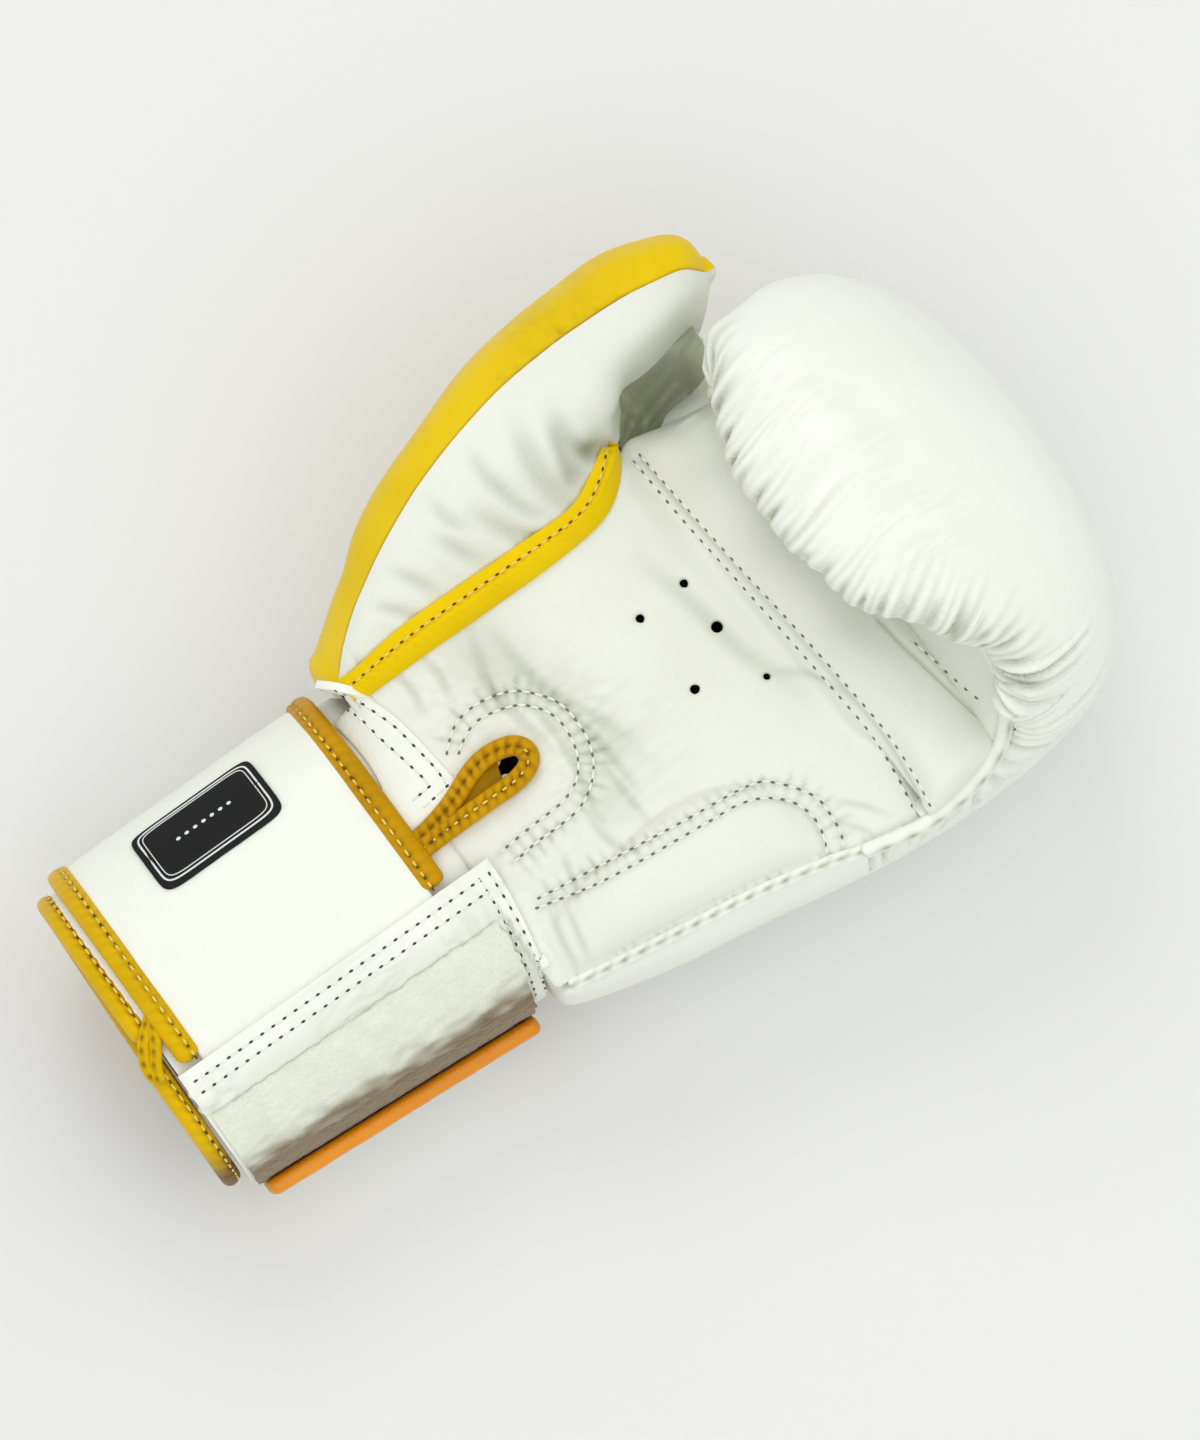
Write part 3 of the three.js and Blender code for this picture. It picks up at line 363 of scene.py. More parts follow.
def hollowed(co, tree, dips):
    """The dips of a table, each with its mark, radius, depth and tone."""
    return [hollow(co, landed(tree, [(x, y), (x + 2, y)])[0][0], *values) for (x, y), *values in dips]


def pulled(obj, pulls, still, reach, lowest=0):
    """Shifts a piece's points across the picture. Each pull is a mark and the mark that it goes to,
    and the still marks stay where they are."""
    co = points(obj)
    pairs = np.array(pulls + [(mark, mark) for mark in still], float)
    marks, ends = pairs[:, 0], pairs[:, 1]
    seen = co - np.array(eye)
    depth = -(seen @ np.array(back))
    across, along = seen @ np.array(right) / depth, seen @ np.array(up) / depth
    place = np.stack([PICTURE_WIDTH / 2 + FOCAL_PIXELS * across,
                      PICTURE_HEIGHT / 2 - FOCAL_PIXELS * along], 1)
    near = lambda rows: np.exp(-(np.linalg.norm(rows[:, None] - marks[None], axis=2) / reach) ** 2)
    shares = np.linalg.solve(near(marks) + 0.02 * np.eye(len(marks)), ends - marks)
    free = ease(co[:, 2] / MM, lowest, lowest + 20)
    move = near(place) @ shares * (depth / FOCAL_PIXELS * free)[:, None]
    put(obj, co + move[:, :1] * np.array(right) - move[:, 1:] * np.array(up))


def pressed(obj, *folds):
    """Moves a piece's points along their normals by the sum of its folds, and keeps the shade."""
    co, press, mark = points(obj), 0, 0
    for moved, shade in folds:
        press = press + moved
        mark = mark + shade
    put(obj, co + directions(obj) * (press * MM)[:, None])
    shade_of(obj, mark)
    print(obj.name, "folds from", round(float(press.min()), 2), "to", round(float(press.max()), 2), "mm")


def shade_of(obj, amount):
    """Keeps painted shade, from folds and from pieces in shade, as an attribute that the leather's colour
    reads.
    """
    attribute = obj.data.attributes.get("fold") or obj.data.attributes.new("fold", "FLOAT", "POINT")
    before = np.zeros(len(obj.data.vertices), np.float32)
    attribute.data.foreach_get("value", before)
    attribute.data.foreach_set("value", np.clip(before + amount, 0, 1).astype(np.float32))


# %% [markdown]
# Foam under leather swells between its seams. The cloth solver gives that: the skin is inflated a
# little for twenty frames, and no point may move further than a cap.

# %% Helper that stuffs a padded piece
STUFF_FRAMES, STUFF_PRESSURE = 20, 4


def stuff(obj, cap):
    """Inflates a closed skin with the cloth solver. cap is in millimetres."""
    before = points(obj)
    only(obj)
    cloth = obj.modifiers.new("Cloth", "CLOTH")
    cloth.settings.use_pressure = True
    cloth.settings.uniform_pressure_force = STUFF_PRESSURE
    cloth.settings.effector_weights.gravity = 0
    cloth.settings.quality = 4
    cloth.collision_settings.use_collision = False
    cloth.point_cache.frame_start, cloth.point_cache.frame_end = 1, STUFF_FRAMES
    for number in range(1, STUFF_FRAMES + 1):
        scene.frame_set(number)
    bpy.ops.object.modifier_apply(modifier=cloth.name)
    scene.frame_set(1)
    moved = points(obj) - before
    length = np.linalg.norm(moved, axis=1, keepdims=True)
    print(obj.name, "swells by up to", round(float(length.max()) / MM, 1), "mm")
    put(obj, before + moved * np.minimum(1, cap * MM / np.maximum(length, 1e-9)))
    return obj


# %% [markdown]
# Leather has a pebbled grain and slow changes of tone, and the shade that gathers in its folds is
# painted into its colour. Several materials need the same effect, so it is one node group, and each
# material gives it values. The attribute called fold holds that painted shade, from the pressed
# folds and from pieces that lie in shade.

# %% Leather grain group
def socket(group, name, kind, way, value=None):
    """One input or output of a node group."""
    made = group.interface.new_socket(name=name, in_out=way, socket_type=kind)
    if value is not None:
        made.default_value = value


def node(tree, kind, values=None, **settings):
    """A shader node with its settings, and with plain values on its sockets."""
    made = tree.nodes.new(kind)
    for key, value in settings.items():
        setattr(made, key, value)
    for key, value in (values or {}).items():
        made.inputs[key].default_value = value
    return made


grain = bpy.data.node_groups.new("leather grain", "ShaderNodeTree")
socket(grain, "Color", "NodeSocketColor", "INPUT")
socket(grain, "Fold Color", "NodeSocketColor", "INPUT")
socket(grain, "Cells per metre", "NodeSocketFloat", "INPUT", 800.0)
socket(grain, "Tone change", "NodeSocketFloat", "INPUT", 0.06)
socket(grain, "Color", "NodeSocketColor", "OUTPUT")
socket(grain, "Roughness", "NodeSocketFloat", "OUTPUT")
socket(grain, "Height", "NodeSocketFloat", "OUTPUT")
inputs = node(grain, "NodeGroupInput")
outputs = node(grain, "NodeGroupOutput")
place = node(grain, "ShaderNodeTexCoord")
cells = node(grain, "ShaderNodeTexVoronoi", {"Smoothness": 0.6}, feature="SMOOTH_F1")
fine = node(grain, "ShaderNodeTexNoise", {"Scale": 1600, "Detail": 3})
broad = node(grain, "ShaderNodeTexNoise", {"Scale": 26, "Detail": 4})
fold = node(grain, "ShaderNodeAttribute", attribute_name="fold")
height = node(grain, "ShaderNodeMath", {1: 0.35}, operation="MULTIPLY_ADD")
tone = node(grain, "ShaderNodeMapRange", {"From Min": 0.35, "From Max": 0.7, "To Min": 0.0})
toned = node(grain, "ShaderNodeMix", data_type="RGBA")
shaded = node(grain, "ShaderNodeMix", data_type="RGBA")
gloss = node(grain, "ShaderNodeMapRange", {"To Min": 0.36, "To Max": 0.54})
link = grain.links.new
for texture in (cells, fine, broad):
    link(place.outputs["Object"], texture.inputs["Vector"])
link(inputs.outputs["Cells per metre"], cells.inputs["Scale"])
link(fine.outputs["Fac"], height.inputs[0])
link(cells.outputs["Distance"], height.inputs[2])
link(broad.outputs["Fac"], tone.inputs["Value"])
link(inputs.outputs["Tone change"], tone.inputs["To Max"])
link(tone.outputs["Result"], toned.inputs["Factor"])
link(inputs.outputs["Color"], toned.inputs["A"])
link(inputs.outputs["Fold Color"], toned.inputs["B"])
# Painted shade: the fold attribute mixes the colour towards the fold colour.
link(fold.outputs["Fac"], shaded.inputs["Factor"])
link(toned.outputs["Result"], shaded.inputs["A"])
link(inputs.outputs["Fold Color"], shaded.inputs["B"])
link(broad.outputs["Fac"], gloss.inputs["Value"])
link(shaded.outputs["Result"], outputs.inputs["Color"])
link(gloss.outputs["Result"], outputs.inputs["Roughness"])
link(height.outputs["Value"], outputs.inputs["Height"])
print("group", grain.name)


# %% [markdown]
# Real leather has a thin clear finish, so each leather has a little coat over its colour. Pictures
# of leather could be wrapped round the pieces, but procedural grain is sharp at any distance and
# needs no unwrapping.

# %% Leather materials
def plain(name, colour, roughness):
    """A new material with one colour, its tree and its shader, to build on."""
    material = bpy.data.materials.new(name)
    material.use_nodes = True
    shader = material.node_tree.nodes["Principled BSDF"]
    shader.inputs["Base Color"].default_value = (*colour, 1)
    shader.inputs["Roughness"].default_value = roughness
    return material, material.node_tree, shader


def leather(name, colour, fold_colour, cells_per_metre, tone_change, bump, shine=0.4, coat=0.1):
    """A leather. Its shine is tinted by its colour, so that dyed leather stays deep in the light."""
    material, tree, shader = plain(name, colour, 0.45)
    shader.inputs["Specular Tint"].default_value = (*[c ** 0.5 for c in colour], 1)
    shader.inputs["Coat Tint"].default_value = (*[c ** 0.25 for c in colour], 1)
    shader.inputs["Coat Weight"].default_value = coat
    shader.inputs["Coat Roughness"].default_value = 0.3
    shader.inputs["Specular IOR Level"].default_value = shine
    group = node(tree, "ShaderNodeGroup", node_tree=grain)
    group.inputs["Color"].default_value = (*colour, 1)
    # The fold colour is the colour of painted shade. The slow tone changes lean towards it too.
    group.inputs["Fold Color"].default_value = (*fold_colour, 1)
    group.inputs["Cells per metre"].default_value = cells_per_metre
    group.inputs["Tone change"].default_value = tone_change
    bumped = node(tree, "ShaderNodeBump", {"Strength": bump, "Distance": 0.0003})
    tree.links.new(group.outputs["Color"], shader.inputs["Base Color"])
    tree.links.new(group.outputs["Roughness"], shader.inputs["Roughness"])
    tree.links.new(group.outputs["Height"], bumped.inputs["Height"])
    tree.links.new(bumped.outputs["Normal"], shader.inputs["Normal"])
    return material


HIDE, BINDING, CLOTH = 900, 1100, 2400  # cells of the grain per metre
# Each leather's second colour is the colour of its painted shade.
WHITE = leather("white leather", (0.88, 0.895, 0.835), (0.33, 0.35, 0.24), HIDE, 0.07, 0.3)
# Painted shade: the same white leather, duller and greener, for the pieces that lie in less light than the
# shell.
WHITE_IN_PAINTED_SHADE = leather("white leather in painted shade", (0.815, 0.83, 0.765), (0.31, 0.33, 0.22), HIDE, 0.08, 0.32)
YELLOW = leather("yellow leather", (0.86, 0.60, 0.002), (0.34, 0.18, 0.0), HIDE, 0.22, 0.35,
                 shine=0.5, coat=0.04)
GOLD = leather("gold leather", (0.64, 0.33, 0.002), (0.13, 0.05, 0.0), BINDING, 0.35, 0.4,
               shine=0.6, coat=0.06)
PALE_GOLD = leather("pale gold leather", (0.76, 0.47, 0.002), (0.12, 0.05, 0.0), BINDING, 0.35, 0.4,
                    shine=0.6, coat=0.06)
# Painted light: the end roll is the same gold leather as the other bindings, coloured orange for the more
# saturated light that falls on it.
GOLD_IN_PAINTED_LIGHT = leather("gold leather in painted light", (0.86, 0.33, 0.008), (0.38, 0.11, 0.0), BINDING, 0.30, 0.4,
                 shine=0.9, coat=0.6)
LINING = leather("dark lining", (0.05, 0.05, 0.048), (0.01, 0.01, 0.01), CLOTH, 0.3, 0.8,
                 shine=0.2, coat=0.0)

# %% [markdown]
# The loop fleece is matt and furry, and darker in patches. Thread, needle holes and the patch need
# little more than their own colour, with a weave on the patch.

# %% Fleece, patch and thread materials
FLEECE, tree, shader = plain("loop fleece", (0.70, 0.72, 0.62), 0.95)
place = node(tree, "ShaderNodeTexCoord")
tufts = node(tree, "ShaderNodeTexNoise", {"Scale": 1300, "Detail": 4})
stain = node(tree, "ShaderNodeTexNoise", {"Scale": 160, "Detail": 5})
# Painted shade: the fold attribute darkens the fleece towards brown near its low edge.
fleece_shade = node(tree, "ShaderNodeAttribute", attribute_name="fold")
patchy = node(tree, "ShaderNodeMix", {"A": (0.72, 0.75, 0.62, 1), "B": (0.88, 0.90, 0.80, 1)},
              data_type="RGBA")
darkened = node(tree, "ShaderNodeMix", {"B": (0.17, 0.11, 0.03, 1)}, data_type="RGBA")
bumped = node(tree, "ShaderNodeBump", {"Strength": 0.9, "Distance": 0.0006})
tree.links.new(place.outputs["Object"], tufts.inputs["Vector"])
tree.links.new(place.outputs["Object"], stain.inputs["Vector"])
tree.links.new(stain.outputs["Fac"], patchy.inputs["Factor"])
tree.links.new(patchy.outputs["Result"], darkened.inputs["A"])
tree.links.new(fleece_shade.outputs["Fac"], darkened.inputs["Factor"])
tree.links.new(darkened.outputs["Result"], shader.inputs["Base Color"])
tree.links.new(tufts.outputs["Fac"], bumped.inputs["Height"])
tree.links.new(bumped.outputs["Normal"], shader.inputs["Normal"])
shader.inputs["Sheen Weight"].default_value = 0.4


def woven(name, colour, roughness, bump):
    """A plain colour with the fine relief of twisted or woven thread."""
    material, tree, shader = plain(name, colour, roughness)
    place = node(tree, "ShaderNodeTexCoord")
    weave = node(tree, "ShaderNodeTexNoise", {"Scale": 3000, "Detail": 2})
    bumped = node(tree, "ShaderNodeBump", {"Strength": bump, "Distance": 0.0002})
    uneven = node(tree, "ShaderNodeMapRange",
                  {"To Min": roughness - 0.08, "To Max": min(1, roughness + 0.12)})
    tree.links.new(place.outputs["Object"], weave.inputs["Vector"])
    tree.links.new(weave.outputs["Fac"], bumped.inputs["Height"])
    tree.links.new(weave.outputs["Fac"], uneven.inputs["Value"])
    tree.links.new(uneven.outputs["Result"], shader.inputs["Roughness"])
    tree.links.new(bumped.outputs["Normal"], shader.inputs["Normal"])
    return material


THREAD_WHITE = woven("white thread", (0.86, 0.87, 0.81), roughness=0.8, bump=0.6)
# The needle-hole colours below are painted shade: dark beads for the shade in each hole and beside its
# thread.
HOLE_GREY = woven("needle holes in white", (0.17, 0.175, 0.14), roughness=0.9, bump=0.3)
HOLE_DARK = woven("needle holes in the flap", (0.055, 0.06, 0.065), roughness=0.9, bump=0.3)
THREAD_GOLD = woven("gold thread", (0.86, 0.62, 0.14), roughness=0.7, bump=0.6)
HOLE_BROWN = woven("needle holes in gold", (0.13, 0.055, 0.002), roughness=0.9, bump=0.3)
BLACK = woven("black patch", (0.008, 0.008, 0.009), roughness=0.6, bump=0.25)
BLACK.node_tree.nodes["Principled BSDF"].inputs["Specular IOR Level"].default_value = 0.2
BORDER = woven("white border", (0.80, 0.81, 0.80), roughness=0.6, bump=0.3)


def dressed(obj, material, slot=None, *nodes, fill=None):
    """Gives a finished piece its material and its body, and hides the solids that it stands for. Its slot is
    not used.
    """
    if not obj.data.materials:
        obj.data.materials.append(material)
    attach(obj, "root")
    if nodes:
        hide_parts(*nodes)
    print(obj.name, len(obj.data.polygons), "faces")
    return obj


# %% [markdown]
# The frame's zero is under the middle of the glove. The pattern tables below are in the glove's own
# millimetres, from the rim of the cuff, so the cuff's box tells how to get from one to the other.

# %% Pattern millimetres to frame metres
CUFF_WIDTH, CUFF_HEIGHT, CUFF_LEVEL, CUFF_LENGTH, CUFF_POWER = 98, 65, 40, 101.2, 2.3
RIM_TAPER = 7
HALF_MITT, FOLD_HEIGHT = 69.5, 84
HAND_START = 101.5
GAP = 0.3
SHIFT = np.array([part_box("cuff")[0].x / MM + CUFF_WIDTH / 2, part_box("cuff")[1].y / MM - CUFF_LENGTH, 0])
print("shift", np.round(SHIFT, 2))


def framed(rows):
    """Rows of x, y, z in pattern millimetres as places in the frame."""
    return (np.asarray(rows, float) + SHIFT) * MM


def laid_grid(name, across, along, place):
    """A grid primitive whose points go where place(u, v) says, both from 0 to 1."""
    bpy.ops.object.select_all(action="DESELECT")
    bpy.ops.mesh.primitive_grid_add(x_subdivisions=across, y_subdivisions=along, size=1)
    obj = bpy.context.object
    obj.name = name
    co = points(obj)
    put(obj, place(co[:, 0] + 0.5, co[:, 1] + 0.5))
    return obj


def walled(obj, thickness, outward):
    """Faces a sheet the right way, gives it its thickness below, and rounds its edges."""
    if (directions(obj) * outward(points(obj))).sum() < 0:
        in_edit_mode(obj, ("flip_normals", {}))
    applied(obj, "SOLIDIFY", thickness=thickness * MM, offset=-1)
    applied(obj, "BEVEL", width=0.28 * thickness * MM, segments=2, limit_method="ANGLE",
            angle_limit=math.radians(55))
    only(obj)
    bpy.ops.object.shade_smooth_by_angle(angle=math.radians(45))
    return obj


# %% [markdown]
# The shell over the fingers and the back of the hand is leather over thick foam. Its skin is
# remeshed from the solid, stuffed, and refined. Where it is gathered, it gets more faces. Sculpting
# could do this too, but a skin that grows out of the solid keeps its outline, and folds that follow
# a line can be moved with the line.

# %% Padded shell
SHELL_VOXEL = 2.6
shell = solid_copy("padded_shell", "mitt_shell")
skin(shell, SHELL_VOXEL, rounds=8)
stuff(shell, cap=1.2)
applied(shell, "SUBSURF", levels=1, render_levels=1)

LIP = framed([
    (-48.3, 227.4, 106.6), (-54.2, 225.2, 109.2), (-56.6, 224.7, 114.1), (-54.2, 225.2, 120.3),
    (-45.1, 224.5, 125.1), (-28.0, 221.6, 128.0), (-15.1, 221.2, 128.9), (2.3, 221.2, 129.2),
    (19.9, 222.0, 129.0), (33.9, 229.8, 128.6), (45.5, 237.8, 125.6), (53.9, 242.0, 121.6),
    (60.4, 243.5, 117.2), (64.8, 242.7, 112.8), (67.2, 240.2, 108.5)])
CORNER = framed([
    (60.4, 243.5, 117.2), (67.2, 240.2, 108.5), (66.9, 236.4, 102.6), (67.1, 238.8, 96.4),
    (70.3, 240.4, 86.5), (71.9, 237.0, 77.6), (74.0, 226.0, 72.2), (75.8, 213.6, 74.3),
    (75.7, 201.1, 75.8), (73.3, 188.6, 75.8)])
SIDE_SEAM = framed([
    (55.9, 105.0, 66.7), (60.5, 130.0, 70.5), (65.6, 160.0, 73.1), (70.5, 180.0, 75.0),
    (73.3, 188.6, 75.8), (75.7, 201.1, 75.8)])


def refined_near(obj, line, reach):
    """Subdivides the faces of a piece that lie near a line."""
    far, _, _ = nearest(points(obj), line, reach)
    only(obj)
    bpy.ops.object.mode_set(mode="EDIT")
    bpy.ops.mesh.select_all(action="DESELECT")
    bpy.ops.object.mode_set(mode="OBJECT")
    chosen = far < reach
    for polygon in obj.data.polygons:
        polygon.select = all(chosen[i] for i in polygon.vertices)
    bpy.ops.object.mode_set(mode="EDIT")
    bpy.ops.mesh.subdivide(number_cuts=1, smoothness=0.4)
    bpy.ops.object.mode_set(mode="OBJECT")
    print(obj.name, "refined to", len(obj.data.polygons), "faces")


SHELL_WRINKLES = [  # place, radius, size, depth, seed
    ((-8, 240, 134), 20, (2.4, 16, 8), 0.09, 5),
    ((-30, 236, 132), 17, (2.4, 14, 8), 0.09, 6),
    ((18, 243, 133), 18, (2.4, 14, 8), 0.07, 7)]
LIP_PULLS = [
    ((687, 340), (703, 352)), ((687, 358), (703, 375)), ((706, 379), (706, 403)),
    ((727, 405), (717, 433)), ((756, 436), (741, 468)), ((779, 471), (766, 503)),
    ((813, 512), (799, 545)), ((839, 564), (830, 584)), ((883, 587), (872, 609)),
    ((917, 616), (911, 629)), ((964, 627), (960, 640)), ((720, 300), (735, 309)),
    ((768, 278), (770, 284))]
LIP_STILL = [
    (987, 645), (1010, 700), (1040, 640), (850, 400), (930, 480), (1000, 560), (820, 320), (900, 320),
    (760, 370), (800, 440), (870, 510), (940, 570)]
refined_near(shell, CORNER, reach=26)
refined_near(shell, LIP, reach=20)
shell_skin = points(shell)
pressed(
    shell,
    gathers(shell_skin, CORNER, reach=27, depth=2.1, pitch=4.3, seed=11),
    gathers(shell_skin, LIP, reach=9, depth=1.1, pitch=6.6, seed=21, sharp=0.2, swell=1.0),
    gathers(shell_skin, LIP, reach=15, depth=0.14, pitch=3.1, seed=31, sharp=0.25),
    gathers(shell_skin, SIDE_SEAM, reach=5, depth=0.4, pitch=3.0, seed=41),
    *crinkled(shell_skin, SHELL_WRINKLES),
)
pulled(shell, LIP_PULLS, LIP_STILL, reach=42, lowest=82)
only(shell)
bpy.ops.object.shade_smooth()
dressed(shell, WHITE, "white_leather", "mitt_shell", fill=0.9)

# %% [markdown]
# Palm, heel pad and grip bar are one stretch of leather in the real glove, sewn down along double
# rows of thread. So their solids are joined, with a strip of leather under the bar and a sleeve
# over it that close the corners, and one skin is laid over all of them. A voxel remesh melts the
# borders into soft steps, which would take long to model one by one.

# %% Palm skin
BAR_Y, BAR_Z, BAR_HALF_WIDTH, BAR_RISE = 219, 76.5, 15.7, 11.7
SHEET_WALL, PALM_VOXEL = 2.4, 0.85
UNDER_BAR = np.array([  # y, left x, left z, right x, right z
    (196, -50.5, 77.0, 74.4, 75.6), (203, -53.8, 76.7, 75.2, 75.4), (214, -51.6, 72.5, 75.2, 74.5),
    (226, -49.5, 73.0, 73.4, 73.5), (236, -48.5, 77.0, 71.4, 78.5), (239.5, -47.8, 82.0, 70.4, 84.0)])


def seams_at(y):
    """Where the seams at the bar's two ends lie: left x and z, right x and z."""
    return between(UNDER_BAR[:, 1:], y, UNDER_BAR[:, 0]).T


def under_bar(u, v):
    """The leather below the bar, from one seam to the other."""
    y = UNDER_BAR[0, 0] + u * (UNDER_BAR[-1, 0] - UNDER_BAR[0, 0])
    left_x, left_z, right_x, right_z = seams_at(y)
    x = left_x + v * (right_x - left_x)
    z = left_z + v * (right_z - left_z) + 2.5 * np.sin(math.pi * v)
    return framed(np.stack([x, y, z - 1.2], 1))


def over_bar(u, v):
    """The bar's top, carried on to the seams at both of its ends."""
    turn = np.radians(12 + 154 * v)
    y = BAR_Y + BAR_HALF_WIDTH * np.cos(turn)
    left_x, left_z, right_x, right_z = seams_at(y)
    x = left_x + 1 + u * (right_x - left_x + 0.6)
    edge = np.abs(2 * u - 1) ** np.where(u > 0.5, 40, 10)
    z = (BAR_Z + BAR_RISE * np.sin(turn)) * (1 - edge) + (left_z + u * (right_z - left_z)) * edge
    return framed(np.stack([x, y, z], 1))


strip = laid_grid("strip", 24, 40, under_bar)
sleeve = laid_grid("sleeve", 60, 40, over_bar)
for sheet in (strip, sleeve):
    applied(sheet, "SOLIDIFY", thickness=SHEET_WALL * MM, offset=0)
palm = joined("palm_leather", [
    solid_copy("palm_leather", "palm_panel"), solid_copy("heel", "heel_pad"),
    solid_copy("bar", "grip_bar"), strip, sleeve])
skin(palm, PALM_VOXEL, rounds=12)
VALLEY_PULLS = [
    ((790, 642), (793, 640)), ((830, 697), (839, 691)), ((868, 760), (886, 749)),
    ((885, 790), (903, 780)), ((900, 815), (917, 808))]
VALLEY_STILL = [
    (747, 587), (700, 530), (870, 640), (900, 690), (940, 700), (960, 760), (930, 650), (700, 660),
    (760, 740), (800, 800), (740, 800), (850, 860), (930, 840), (820, 600), (650, 560)]
pulled(palm, VALLEY_PULLS, VALLEY_STILL, reach=40)
smooth_palm = tree_of(palm)

# %% [markdown]
# Seams pull the palm in, the leather puckers beside them, and a hand that closes leaves creases.
# All of them are lists of marks, so that they can be laid over the photograph and mended there.

# %% Seams and creases of the palm
BAR_NEAR_UPPER = [
    (640, 455), (690, 512), (740, 568), (800, 633), (861, 702), (889, 736), (914, 775), (934, 813)]
BAR_NEAR_LOWER = [
    (634, 462), (682, 519), (733, 576), (790, 640), (845, 703), (873, 737), (898, 778), (918, 818)]
BAR_FAR = [(880, 619), (900, 640), (929, 668), (958, 696), (990, 727)]
HEEL_OUTER = [
    (539, 898), (607, 862), (680, 823), (748, 786), (776, 783), (814, 796), (832, 817), (842, 837),
    (845, 860)]
HEEL_INNER = [
    (537, 908), (607, 879), (703, 825), (738, 805), (767, 798), (797, 804), (817, 822), (826, 846),
    (827, 871)]
ROUND_OUTER = [
    (447, 753), (452, 732), (463, 715), (486, 699), (515, 691), (543, 696), (560, 704), (575, 719),
    (590, 745), (593, 776), (581, 806), (558, 827), (537, 842), (512, 864)]
ROUND_INNER = [
    (459, 753), (465, 737), (476, 722), (494, 712), (519, 705), (541, 709), (554, 716), (566, 729),
    (577, 753), (577, 778), (565, 799), (549, 813), (532, 826), (508, 846), (497, 855)]
BAR_MIDDLE = [((a + c) / 2, (b + d) / 2) for (a, b), (c, d) in zip(BAR_NEAR_UPPER, BAR_NEAR_LOWER)]
PALM_GROOVES = [  # marks, width, depth
    (BAR_MIDDLE, 1.1, 0.9), (BAR_FAR, 0.9, 1.1), (HEEL_OUTER, 1.0, 0.45), (HEEL_INNER, 1.0, 0.6),
    (ROUND_OUTER, 0.9, 0.3), (ROUND_INNER, 0.9, 0.3)]
PALM_FOLDS = [  # marks, width, depth
    ([(470, 632), (480, 662), (492, 690), (520, 720), (548, 748)], 1.3, 0.7),
    ([(490, 628), (512, 655), (548, 690), (590, 712), (636, 742)], 1.5, 0.6),
    ([(545, 700), (566, 706), (600, 742), (640, 790)], 1.1, 0.5),
    ([(515, 690), (548, 722), (572, 760), (590, 800), (612, 838)], 1.1, 0.5),
    ([(600, 760), (628, 796), (650, 822)], 1.0, 0.4),
    ([(585, 812), (610, 842), (640, 852)], 1.0, 0.4),
    ([(560, 850), (572, 880), (578, 908)], 1.0, 0.4),
    ([(548, 905), (560, 940), (580, 975)], 1.2, 0.5),
    ([(565, 905), (578, 936), (590, 962)], 1.0, 0.4),
    ([(640, 560), (690, 600), (742, 650), (800, 688)], 2.4, 0.45),
    ([(770, 668), (812, 676), (852, 700)], 1.3, 0.35),
    ([(832, 800), (866, 806), (890, 816)], 0.9, 0.35),
    ([(838, 822), (868, 832), (884, 848)], 0.9, 0.35),
    ([(420, 655), (436, 672), (452, 700)], 1.2, 0.5),
    ([(390, 668), (410, 690), (425, 716)], 1.2, 0.4)]
PALM_WRINKLES = [  # place, radius, size, depth, seed
    ((-2, 140, 80), 30, (3.0, 9, 6), 0.2, 8), ((14, 150, 80), 28, (3.4, 11, 6), 0.17, 9),
    ((28, 118, 76), 20, (3.2, 6, 6), 0.12, 10), ((-22, 124, 80), 20, (4, 4, 6), 0.12, 11)]
# Each tone is painted shade in the hollow. The dips with no depth are painted shade alone.
PALM_HOLLOWS = [  # mark, radius, depth, tone
    ((475, 648), 9, 0.9, 0.22), ((512, 672), 9, 0.9, 0.2), ((560, 690), 8, 0.6, 0.12),
    ((604, 742), 8, 0.7, 0.18), ((612, 800), 7, 0.6, 0.16), ((700, 470), 9, 0.0, 0.16),
    ((770, 545), 9, 0.0, 0.16), ((850, 630), 9, 0.0, 0.14), ((690, 650), 12, 0.6, 0.06)]


def palm_line(marks):
    """A seam of the palm that has landed, evened out."""
    return softened(landed(smooth_palm, marks)[0], 6)


palm_skin = points(palm)
pressed(
    palm,
    *(groove(palm_skin, palm_line(marks), width, depth) for marks, width, depth in PALM_GROOVES),
    gathers(palm_skin, palm_line(HEEL_OUTER), reach=5, depth=0.1, pitch=3.3, seed=51),
    gathers(palm_skin, palm_line(ROUND_OUTER), reach=6, depth=0.1, pitch=3.4, seed=52),
    gathers(palm_skin, SIDE_SEAM, reach=4.5, depth=0.35, pitch=3.0, seed=53),
    *creased(palm_skin, smooth_palm, PALM_FOLDS, rounds=6),
    *crinkled(palm_skin, PALM_WRINKLES),
    *hollowed(palm_skin, smooth_palm, PALM_HOLLOWS),
)
dressed(palm, WHITE_IN_PAINTED_SHADE, "white_leather", "palm_panel", "heel_pad", "grip_bar", fill=0.6)

# %% [markdown]
# Beyond the bar a narrow panel closes the glove up to the lip of the fingers, and turns round the
# end of the bar. It is a sheet between two edges: one on the bar, the other under the lip. A skin
# from the solid would work too, but it would leave slits along both edges.

# %% Finger panel
BAR_EDGE = [
    (-47, 229, 78), (-40, 231, 80), (-20, 232, 80), (10, 232, 80), (40, 232, 80), (58, 231, 79.5),
    (66, 227, 78.5), (70, 219, 77.5), (71, 206, 76.5)]
LIP_EDGE = [
    (-47, 232, 106), (-42, 230, 118), (-20, 230, 122), (10, 232, 122), (38, 240, 118), (50, 244, 107),
    (60, 243.5, 94), (67, 240, 86.5), (72.5, 234, 82.5), (75.5, 226, 80), (77, 217, 78.5), (77, 206, 78)]


def spanned(first, second, u, v):
    """Places between two lines: u is the share along both, v the share from first to second."""
    low, high = shares_of(first, u), shares_of(second, u)
    return low + (high - low) * v[:, None]


